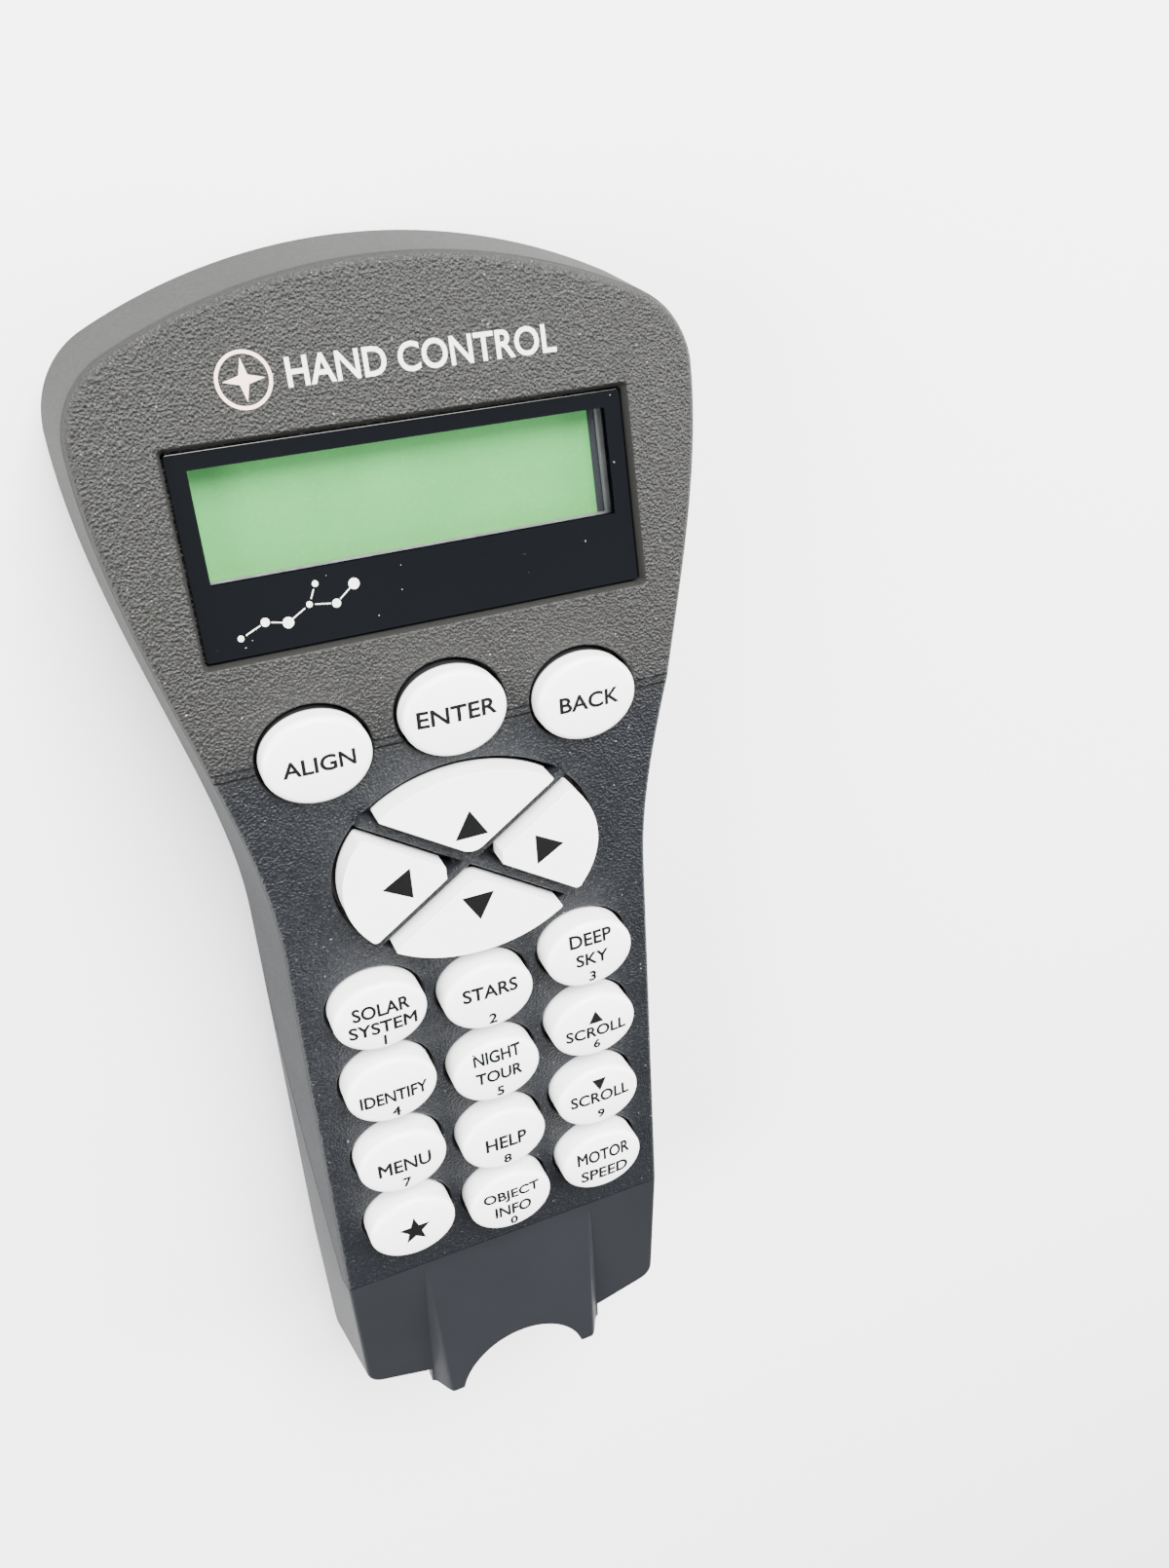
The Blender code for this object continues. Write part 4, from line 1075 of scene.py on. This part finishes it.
class CONTROLLER_OT_window(bpy.types.Operator):
    """Model the glossy window over the display"""

    bl_idname = "controller.window"
    bl_label = "Display Window"

    def execute(self, context):
        window = add_box("window_pane", (-WINDOW_HALF, WINDOW_LOW, -(WINDOW_SINK + WINDOW_THICK)),
                         (WINDOW_HALF, WINDOW_HIGH, -WINDOW_SINK))
        with editing(window):
            round_edges(window, upright, 0.45 * MM, 5)
            round_edges(window, at_height(-WINDOW_SINK), 0.15 * MM, 2)
        settle(to_head(window), "window", "case", "window_acrylic", "display_window")
        return {"FINISHED"}


class CONTROLLER_OT_marks(bpy.types.Operator):
    """Print the plain star badge and words above the display and the star pattern on the window"""

    bl_idname = "controller.marks"
    bl_label = "Printed Marks"

    def execute(self, context):
        thick = context.scene.controller_keys.ink_thick
        words = text_mesh("face_words", "HAND CONTROL", *WORDS_SIZE)
        words.data.transform(Matrix.Translation(WORDS_SPOT))
        badge = join("face_badge", [self.ring(BADGE_SPOT, BADGE_RADIUS),
                                    add_star("badge_star", BADGE_STAR, 4, 0.3, BADGE_SPOT)])
        pattern = join("window_pattern", self.pattern())
        for mark, tint, move in ((words, "silver", MARK_RISE), (badge, "badge", MARK_RISE),
                                 (pattern, "silver", PATTERN_SPOT)):
            apply_modifier(mark, "SOLIDIFY", thickness=thick, offset=1.0)
            mark.data.transform(Matrix.Translation(move))
            settle(to_head(mark), tint, "case", "label_film", weighted=False)
        return {"FINISHED"}

    def ring(self, centre, radius):
        ring = add_disc("ring", radius, 64, centre)
        with editing(ring, "SELECT"):
            bpy.ops.mesh.inset(thickness=0.45 * MM)
            bpy.ops.mesh.delete(type="FACE")
        return ring

    def pattern(self):
        """Dots for the stars and thin strips for the lines between them, in the pattern's own corner."""
        stars = [Vector(spot) * MM for spot in STAR_PATTERN]
        made = [add_disc("dot", (0.42 + 0.16 * (index % 3)) * MM, 24, spot)
                for index, spot in enumerate(stars)]
        for first, second in STAR_LINES:
            run = stars[second] - stars[first]
            select_only()
            bpy.ops.mesh.primitive_plane_add(size=1.0)
            strip = named("strip")
            strip.scale = (run.length - 1.5 * MM, 0.16 * MM, 1.0)
            strip.rotation_euler.z = math.atan2(run.y, run.x)
            strip.location = (*(stars[first] + run / 2), 0.0)
            made.append(place(strip))
        return made


class CONTROLLER_OT_screws(bpy.types.Operator):
    """Model the four case screws with their cross recesses"""

    bl_idname = "controller.screws"
    bl_label = "Case Screws"

    def execute(self, context):
        for name in sorted(CASE_SCREWS):
            settle(self.model(name), "screw", "case", "screw_steel", name, weighted=False)
        return {"FINISHED"}

    def model(self, name):
        low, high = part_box(name)
        centre = middle_of(name).xy
        seat = low.z + SCREW_HEAD_HIGH
        tip = 1.2 * MM
        screw = add_oval(name + "_fine", centre, SCREW_HEAD_HALF, low.z, seat, 40)
        with editing(screw):
            round_edges(screw, at_height(low.z), 0.6 * MM, 5)
            pick_faces(screw, facing_up)
            bpy.ops.mesh.inset(thickness=1.05 * MM)
            push_up(high.z - seat - tip)
            push_up(tip)
            resize(0.4, 0.4, centre)
        blades = []
        for wide, long in ((0.5, 2.4), (2.4, 0.5)):
            corner = Vector((wide * MM / 2, long * MM / 2))
            blades.append(add_box("blade", (*(centre - corner), low.z - 1 * MM),
                                  (*(centre + corner), low.z + 0.9 * MM)))
        boolean(screw, blades)
        return screw


class CONTROLLER_OT_sockets(bpy.types.Operator):
    """Model the cord jack with its contacts and the data port with its tongue"""

    bl_idname = "controller.sockets"
    bl_label = "Sockets"

    def execute(self, context):
        low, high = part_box("cord_jack")
        jack = self.shell("cord_jack_body", low, high, JACK_MOUTH, JACK_DEEP)
        settle(jack, "socket", "case", "black_component", "cord_jack")
        contacts = []
        middle = (low + high) / 2
        for index in range(CONTACT_COUNT):
            x = middle.x + (index - (CONTACT_COUNT - 1) / 2) * CONTACT_PITCH
            contacts.append(self.contact(x, low.y + 0.8 * MM, middle.z + 3.2 * MM))
        settle(join("cord_jack_contacts", contacts), "gold", "case", "screw_steel")
        low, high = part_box("data_port")
        port = self.shell("data_port_shell", low, high, PORT_MOUTH, PORT_DEEP)
        settle(port, "steel", "case", "sheet_steel", "data_port")
        middle = (low + high) / 2
        tongue = add_box("data_port_tongue", (middle.x - 2.5 * MM, low.y + 1.2 * MM, middle.z - 0.1 * MM),
                         (middle.x + 2.5 * MM, low.y + 6.0 * MM, middle.z + 0.7 * MM))
        with editing(tongue, "SELECT"):
            bpy.ops.mesh.bevel(offset=0.15 * MM, segments=2)
        settle(tongue, "socket", "case", "black_component")
        return {"FINISHED"}

    def shell(self, name, low, high, mouth, deep):
        """A moulded socket: its front is inset to the mouth and the mouth is pushed in."""
        made = add_box(name, low, high)
        middle = (low + high) / 2
        with editing(made):
            round_edges(made, lengthwise, 0.5 * MM, 4)
            pick_faces(made, lambda centre, normal: normal.y < -0.9)
            push(0.0, 0.0, 0.0)
            bpy.ops.transform.resize(value=(mouth[0] / (high.x - low.x), 1.0, mouth[1] / (high.z - low.z)),
                                     center_override=middle)
            push(0.0, 0.25 * MM, 0.0)
            bpy.ops.transform.resize(value=(0.97, 1.0, 0.95), center_override=middle)
            push(0.0, deep, 0.0)
        return made

    def contact(self, x, y, z):
        """One sprung contact that slopes down into the mouth."""
        select_only()
        bpy.ops.mesh.primitive_cylinder_add(vertices=10, radius=0.22 * MM, depth=6.0 * MM,
                                            location=(x, y + 3.4 * MM, z - 1.3 * MM),
                                            rotation=(math.radians(68), 0.0, 0.0))
        made = place(named("contact"))
        with editing(made, "SELECT"):
            bpy.ops.mesh.bevel(offset=0.06 * MM, segments=2)
        return made


class CONTROLLER_OT_label(bpy.types.Operator):
    """Model the blank label on the back"""

    bl_idname = "controller.label"
    bl_label = "Rear Label"

    def execute(self, context):
        low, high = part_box("rear_label")
        label = add_box("rear_label_film", low, high)
        with editing(label):
            round_edges(label, upright, 1.5 * MM, 6)
            round_edges(label, at_height(low.z), 0.08 * MM, 2)
        settle(label, "label", "case", "label_film", "rear_label")
        return {"FINISHED"}


class CONTROLLER_OT_inner_finishes(bpy.types.Operator):
    """Give every piece inside the case its finish"""

    bl_idname = "controller.inner_finishes"
    bl_label = "Inner Finishes"

    def execute(self, context):
        by_slot = {"display_glass": "display", "light_guide": "guide", "sheet_steel": "steel",
                   "screw_steel": "screw", "circuit_board": "board", "silicone": "mat",
                   "connector_plastic": "connector", "black_component": "chip"}
        for name, node in frame["nodes"].items():
            slot = node.data.materials[0].name if node.data.materials else ""
            if slot in by_slot:
                node.data.materials[0] = finishes()[by_slot[slot]]
        return {"FINISHED"}


# Finishes: every material is built from nodes. These are the colours blended into the settings' own.

# Painted sheen: the head's face is painted lighter and warmer than the keypad's, standing in for its
# brighter reflection.
HEAD_PAINTED_SHEEN = (0.0078, 0.0076, 0.0067, 1.0)
# Painted glints: the light colour of the specks scattered over the upward grain.
PAINTED_GLINT = (0.16, 0.16, 0.15, 1.0)
# Painted shade: the dark colour of the keys below the face, where they stand in their holes.
SKIRT_PAINTED_SHADE = (0.012, 0.012, 0.013, 1.0)
DUST = (0.3, 0.3, 0.3, 1.0)
# Painted shadow: the display's darker green towards its lower edge and at that edge.
LOW_SHADOW_GREEN = (0.065, 0.17, 0.045, 1.0)
EDGE_SHADOW_GREEN = (0.03, 0.05, 0.02, 1.0)
# Painted highlight: the pale green of faint flecks scattered over the display.
HIGHLIGHT_FLECK_GREEN = (0.2, 0.4, 0.2, 1.0)
BEZEL = (0.022, 0.024, 0.028, 1.0)
UNLIT = (0.0, 0.0, 0.0, 1.0)
MASK_GREEN = (0.012, 0.12, 0.045, 1.0)
TRACK_GREEN = (0.03, 0.24, 0.1, 1.0)
PAD_COPPER = (0.55, 0.5, 0.3, 1.0)


class Signal:
    """A number carried by a shader socket. Arithmetic on it adds Math nodes."""

    def __init__(self, finish, socket):
        self.finish = finish
        self.socket = socket

    def math(self, operation, *values):
        return self.finish.node("ShaderNodeMath", {"operation": operation}, dict(enumerate((self, *values))))

    def __add__(self, other):
        return self.math("ADD", other)

    def __mul__(self, other):
        return self.math("MULTIPLY", other)

    def __sub__(self, other):
        return self.math("SUBTRACT", other)

    def __rsub__(self, other):
        return self.finish.node("ShaderNodeMath", {"operation": "SUBTRACT"}, {0: other, 1: self})

    __radd__ = __add__
    __rmul__ = __mul__

    def over(self, edge, soft):
        """One where the number is above the edge and zero below it, with a soft step between."""
        return self.finish.node("ShaderNodeMapRange", {"interpolation_type": "SMOOTHSTEP"},
                                {"Value": self, "From Min": edge - soft / 2, "From Max": edge + soft / 2})


class Finish:
    """A material with one Principled shader."""

    def __init__(self, name, colour, roughness, constants=()):
        self.material = bpy.data.materials.new(name)
        self.material.use_nodes = True
        self.tree = self.material.node_tree
        self.shader = self.tree.nodes["Principled BSDF"]
        self.shader.inputs["Base Color"].default_value = (*colour, 1.0)
        self.shader.inputs["Roughness"].default_value = roughness
        for socket, value in constants:
            self.shader.inputs[socket].default_value = value

    def node(self, kind, settings=None, inputs=None, output=0):
        """Adds a node, sets its settings, then gives its sockets their values or links."""
        made = self.tree.nodes.new(kind)
        for key, value in (settings or {}).items():
            setattr(made, key, value)
        for key, value in (inputs or {}).items():
            socket = made.inputs[key]
            if isinstance(value, Signal):
                self.tree.links.new(value.socket, socket)
            else:
                socket.default_value = value
        return Signal(self, made.outputs[output])

    def place(self, head=False):
        """Object coordinates, or with head set, coordinates in the tilted head's own frame."""
        where = self.node("ShaderNodeTexCoord", output="Object")
        if head:
            where = self.node("ShaderNodeVectorMath", {"operation": "SUBTRACT"},
                              {0: where, 1: (0.0, BEND_Y, FACE_Z)})
            where = self.node("ShaderNodeMapping", None,
                              {"Vector": where, "Rotation": (HEAD_TILT, 0.0, 0.0)})
        return where

    def axis(self, letter, vector=None):
        """One of the three numbers of a vector, or of the place."""
        return self.node("ShaderNodeSeparateXYZ", None, {0: vector or self.place()}, letter)

    def noise(self, size, detail=3.0, where=None):
        return self.node("ShaderNodeTexNoise", None,
                         {"Vector": where or self.place(), "Scale": 1.0 / size, "Detail": detail})

    def cells(self, size):
        return self.node("ShaderNodeTexVoronoi", None, {"Vector": self.place(), "Scale": 1.0 / size})

    def blend(self, mask, first, second):
        """A colour between two, by a mask."""
        return self.node("ShaderNodeMix", {"data_type": "RGBA"}, {0: mask, 6: first, 7: second}, output=2)

    def feed(self, socket, signal):
        self.tree.links.new(signal.socket, self.shader.inputs[socket])

    def bump(self, height, depth):
        self.feed("Normal", self.node("ShaderNodeBump", None, {"Height": height, "Distance": depth}))


def shade(colour, factor):
    """A colour made lighter or darker, as a socket takes it."""
    return tuple(min(part * factor, 1.0) for part in colour) + (1.0,)


def textured_face(settings):
    """Moulded grain on what faces up, with light specks on it as painted glints, and finer, duller sides.
    The head is painted lighter and warmer as a painted sheen.
    """
    made = Finish("moulded_grain", settings.face, 0.42, [("Specular IOR Level", 0.28)])
    level = made.axis("Z", made.node("ShaderNodeTexCoord", output="Normal")).over(0.62, 0.3)
    grain = made.cells(settings.grain) * 0.8 + made.noise(settings.grain * 0.8, 2.0)
    fine = made.noise(0.25 * MM, 2.0)
    made.bump(grain * level + fine * 0.15, 0.2 * MM)
    worn = made.noise(14 * MM, 4.0)
    made.feed("Roughness", made.noise(0.5 * MM, 2.0) * 0.2 + worn * 0.08 + (0.62 - 0.34 * level))
    # Painted sheen: the tilted head is painted lighter and warmer than the keypad area.
    head = made.axis("Y").over(BEND_Y, 12 * MM)
    tint = made.blend(worn, shade(settings.face, 0.85), shade(settings.face, 1.2))
    tint = made.blend(head, tint, HEAD_PAINTED_SHEEN)
    # Painted glints: light specks on the upward-facing grain stand in for its sparkle.
    painted_glints = made.noise(0.45 * MM, 0.0).over(0.86, 0.02) * level
    made.feed("Base Color", made.blend(painted_glints, tint, PAINTED_GLINT))
    return made.material


def smooth_rear(settings):
    """Fine satin plastic with slight wear."""
    made = Finish("satin_plastic", settings.rear, 0.5, [("Specular IOR Level", 0.22)])
    worn = made.noise(22 * MM, 5.0)
    fine = made.noise(0.32 * MM, 3.0)
    made.feed("Base Color", made.blend(worn, shade(settings.rear, 0.85), shade(settings.rear, 1.25)))
    made.feed("Roughness", worn * 0.16 + fine * 0.1 + 0.48)
    made.bump(fine, 0.018 * MM)
    return made.material


def white_key(settings):
    """White satin plastic, painted dark below the face as painted shade where the key stands in its hole."""
    made = Finish("key_plastic_white", settings.key, 0.36)
    worn = made.noise(5 * MM, 3.0)
    # Painted shade: below the face the white key is painted dark.
    above = made.axis("Z").over(FACE_Z - SKIRT_SHADE_DEPTH, 0.5 * MM)
    white = made.blend(worn, shade(settings.key, 0.965), shade(settings.key, 1.02))
    made.feed("Base Color", made.blend(above, SKIRT_PAINTED_SHADE, white))
    made.feed("Roughness", worn * 0.1 + made.noise(0.4 * MM) * 0.08 + 0.26)
    made.bump(made.noise(0.9 * MM, 2.0), 0.006 * MM)
    return made.material


def ink(name, colour, roughness):
    """Screen-printed ink with slight unevenness."""
    made = Finish(name, colour, roughness, [("Specular IOR Level", 0.12)])
    patchy = made.noise(0.7 * MM, 4.0)
    made.feed("Base Color", made.blend(patchy, shade(colour, 0.85), shade(colour, 1.1)))
    made.feed("Roughness", patchy * 0.2 + (roughness - 0.1))
    return made.material


def window_pane(settings):
    """Clear acrylic whose border is printed dark from behind."""
    made = Finish("window_acrylic_printed", settings.glass, 0.05, [("Specular IOR Level", 0.35)])
    across = made.axis("X", made.place(head=True))
    up = made.axis("Y", made.place(head=True))
    soft = 0.12 * MM
    side = 1 - across.math("ABSOLUTE").over(VIEW_HALF, soft)
    clear = side * up.over(VIEW_LOW, soft) * (1 - up.over(VIEW_HIGH, soft))
    dust = made.noise(0.4 * MM, 0.0).over(0.9, 0.02)
    tint = made.blend(made.noise(30 * MM), shade(settings.glass, 0.8), shade(settings.glass, 1.3))
    made.feed("Base Color", made.blend(dust, tint, DUST))
    made.feed("Alpha", 1 - clear * 0.93)
    made.feed("Roughness", made.noise(9 * MM, 5.0) * 0.05 + dust * 0.4 + 0.02)
    return made.material


def display_cell(settings):
    """The green resting display, painted darker towards its lower edge as painted shadow, with a faint
    painted glow, faint painted highlight flecks and its metal bezel at the rim.
    """
    made = Finish("display_green", settings.display, 0.32, [("Specular IOR Level", 0.3)])
    across = made.axis("X", made.place(head=True))
    up = made.axis("Y", made.place(head=True))
    uneven = made.noise(9 * MM, 2.0)
    fine = made.noise(0.5 * MM, 1.0)
    # Painted shadow: the display is painted darker towards its lower edge and darkest at it.
    low = 1 - up.over(VIEW_LOW + 1.0 * MM, 5.0 * MM)
    edge = 1 - up.over(VIEW_LOW - 0.6 * MM, 1.4 * MM)
    green = made.blend(uneven, shade(settings.display, 0.9), shade(settings.display, 1.12))
    green = made.blend(low * 0.5, green, LOW_SHADOW_GREEN)
    green = made.blend(edge * 0.7, green, EDGE_SHADOW_GREEN)
    # Painted highlight: faint pale flecks scattered over the display.
    green = made.blend(fine.over(0.62, 0.1) * 0.06, green, HIGHLIGHT_FLECK_GREEN)
    bezel = across.over(BEZEL_START, 0.15 * MM)
    made.feed("Base Color", made.blend(bezel, green, BEZEL))
    made.feed("Roughness", uneven * 0.1 + 0.28)
    # Painted glow: the resting display gets a faint emission of its own green, though it is not lit; the
    # bezel gets none.
    made.shader.inputs["Emission Strength"].default_value = 0.6
    made.feed("Emission Color", made.blend(bezel, green, UNLIT))
    return made.material


def metal(name, colour, roughness, size):
    """Metal with fine rolled streaks."""
    made = Finish(name, colour, roughness, [("Metallic", 0.9)])
    where = made.node("ShaderNodeMapping", None, {"Vector": made.place(), "Scale": (1.0, 0.12, 1.0)})
    streak = made.noise(size, 4.0, where)
    made.feed("Base Color", made.blend(streak, shade(colour, 0.8), shade(colour, 1.15)))
    made.feed("Roughness", streak * 0.25 + (roughness - 0.1))
    made.bump(streak, 0.01 * MM)
    return made.material


def board(name):
    """Circuit board: green mask over paler copper tracks and pads."""
    made = Finish(name, (0.015, 0.13, 0.05), 0.4)
    tracks = made.node("ShaderNodeTexBrick", None, {"Vector": made.place(), "Scale": 1.0 / (14 * MM),
                                                   "Mortar Size": 0.035}, output="Fac")
    pads = 1 - made.cells(4 * MM).over(0.16, 0.03)
    green = made.blend(tracks, MASK_GREEN, TRACK_GREEN)
    made.feed("Base Color", made.blend(pads, green, PAD_COPPER))
    made.feed("Metallic", pads * 0.8)
    made.feed("Roughness", made.noise(3 * MM) * 0.15 + 0.32)
    made.bump(tracks + pads * 0.5, 0.02 * MM)
    return made.material


def moulded(name, colour, roughness, size=0.6 * MM):
    """Plain moulded plastic or rubber with a fine skin."""
    made = Finish(name, colour, roughness)
    skin = made.noise(size, 3.0)
    cloudy = made.noise(size * 12, 3.0)
    made.feed("Base Color", made.blend(cloudy, shade(colour, 0.85), shade(colour, 1.18)))
    made.feed("Roughness", skin * 0.2 + (roughness - 0.1))
    made.bump(skin, 0.012 * MM)
    return made.material


def finishes():
    """Every finish by its short name, made once."""
    if not finishes.made:
        settings = bpy.context.scene.controller_finish
        finishes.made = {
            "face": textured_face(settings),
            "rear": smooth_rear(settings),
            "key": white_key(settings),
            "ink": ink("legend_ink", (0.0022, 0.0023, 0.0025), 0.6),
            "silver": ink("silver_ink", (0.66, 0.66, 0.63), 0.45),
            "badge": ink("badge_ink", (0.72, 0.56, 0.50), 0.45),
            "window": window_pane(settings),
            "display": display_cell(settings),
            "guide": moulded("light_guide_acrylic", (0.74, 0.82, 0.72), 0.3),
            "steel": metal("rolled_steel", (0.46, 0.47, 0.48), 0.35, 0.8 * MM),
            "screw": metal("plated_steel", (0.42, 0.42, 0.42), 0.32, 0.5 * MM),
            "gold": metal("contact_gold", (0.83, 0.61, 0.24), 0.3, 0.4 * MM),
            "board": board("green_board"),
            "mat": moulded("contact_rubber", (0.2, 0.205, 0.215), 0.7),
            "connector": moulded("ivory_connector", (0.62, 0.6, 0.54), 0.45),
            "chip": moulded("chip_epoxy", (0.018, 0.018, 0.02), 0.5, 0.3 * MM),
            "socket": moulded("socket_nylon", (0.014, 0.014, 0.015), 0.45),
            "label": moulded("label_film_grey", (0.42, 0.42, 0.43), 0.38, 1.4 * MM),
        }
    return finishes.made


finishes.made = {}


class CONTROLLER_OT_stage(bpy.types.Operator):
    """Add the pale floor, the soft lights and the camera"""

    bl_idname = "controller.stage"
    bl_label = "Stage"

    def execute(self, context):
        settings = context.scene.controller_stage
        self.floor(settings)
        self.sky(settings)
        for name, (spot, share) in SOFTBOXES.items():
            self.softbox(name, spot, settings.softbox * share)
        self.camera(context)
        return {"FINISHED"}

    def floor(self, settings):
        select_only()
        bpy.ops.mesh.primitive_plane_add(size=6.0, location=(0.0, 0.0, CAD_BOX[0].z - 0.02 * MM))
        floor = place(named("pale_floor"))
        finish = Finish("pale_floor_paint", settings.floor, 0.7)
        cloudy = finish.noise(120 * MM, 3.0)
        finish.feed("Base Color", finish.blend(cloudy, shade(settings.floor, 0.985),
                                               shade(settings.floor, 1.01)))
        floor.data.materials.append(finish.material)

    def sky(self, settings):
        world = bpy.data.worlds.new("studio_sky")
        bpy.context.scene.world = world
        world.use_nodes = True
        light = world.node_tree.nodes["Background"]
        light.inputs["Color"].default_value = (1.0, 1.0, 1.0, 1.0)
        light.inputs["Strength"].default_value = settings.sky

    def softbox(self, name, spot, power):
        light = bpy.data.lights.new(name, "AREA")
        light.shape = "DISK"
        light.size = SOFTBOX_SIZE
        light.energy = power
        lamp = bpy.data.objects.new(name, light)
        lamp.location = spot
        lamp.rotation_euler = (-Vector(spot)).to_track_quat("-Z", "Y").to_euler()
        bpy.context.scene.collection.objects.link(lamp)

    def camera(self, context):
        lens = bpy.data.cameras.new("viewer")
        lens.lens = CAMERA_LENS
        lens.clip_start = 0.01
        eye = bpy.data.objects.new("viewer", lens)
        back = -CAMERA_LOOK.normalized()
        right = CAMERA_UP.cross(back).normalized()
        turn = Matrix((right, back.cross(right), back)).transposed()
        eye.matrix_world = Matrix.Translation(CAMERA_PLACE) @ turn.to_4x4()
        context.scene.collection.objects.link(eye)
        context.scene.camera = eye


OPERATORS = (
    CONTROLLER_OT_front_cover,
    CONTROLLER_OT_rear_cover,
    CONTROLLER_OT_oval_keys,
    CONTROLLER_OT_pad_keys,
    CONTROLLER_OT_legends,
    CONTROLLER_OT_window,
    CONTROLLER_OT_marks,
    CONTROLLER_OT_screws,
    CONTROLLER_OT_sockets,
    CONTROLLER_OT_label,
    CONTROLLER_OT_inner_finishes,
    CONTROLLER_OT_stage,
)

SETTINGS = {
    "controller_case": CaseSettings,
    "controller_keys": KeySettings,
    "controller_finish": FinishSettings,
    "controller_stage": StageSettings,
}


class VIEW3D_PT_controller(bpy.types.Panel):
    """The pieces of the hand controller and their settings"""

    bl_label = "Hand Controller"
    bl_space_type = "VIEW_3D"
    bl_region_type = "UI"
    bl_category = "Controller"

    def draw(self, context):
        for name, group in SETTINGS.items():
            column = self.layout.column()
            for setting in group.__annotations__:
                column.prop(getattr(context.scene, name), setting)
        for operator in OPERATORS:
            self.layout.operator(operator.bl_idname)


def register():
    for made in (*SETTINGS.values(), *OPERATORS, VIEW3D_PT_controller):
        bpy.utils.register_class(made)
    for name, group in SETTINGS.items():
        setattr(bpy.types.Scene, name, bpy.props.PointerProperty(type=group))


def unregister():
    for name in SETTINGS:
        delattr(bpy.types.Scene, name)
    for made in (VIEW3D_PT_controller, *reversed(OPERATORS), *SETTINGS.values()):
        bpy.utils.unregister_class(made)


def main():
    register()
    for operator in OPERATORS:
        group, name = operator.bl_idname.split(".")
        getattr(getattr(bpy.ops, group), name)()


if __name__ == "__main__":
    main()
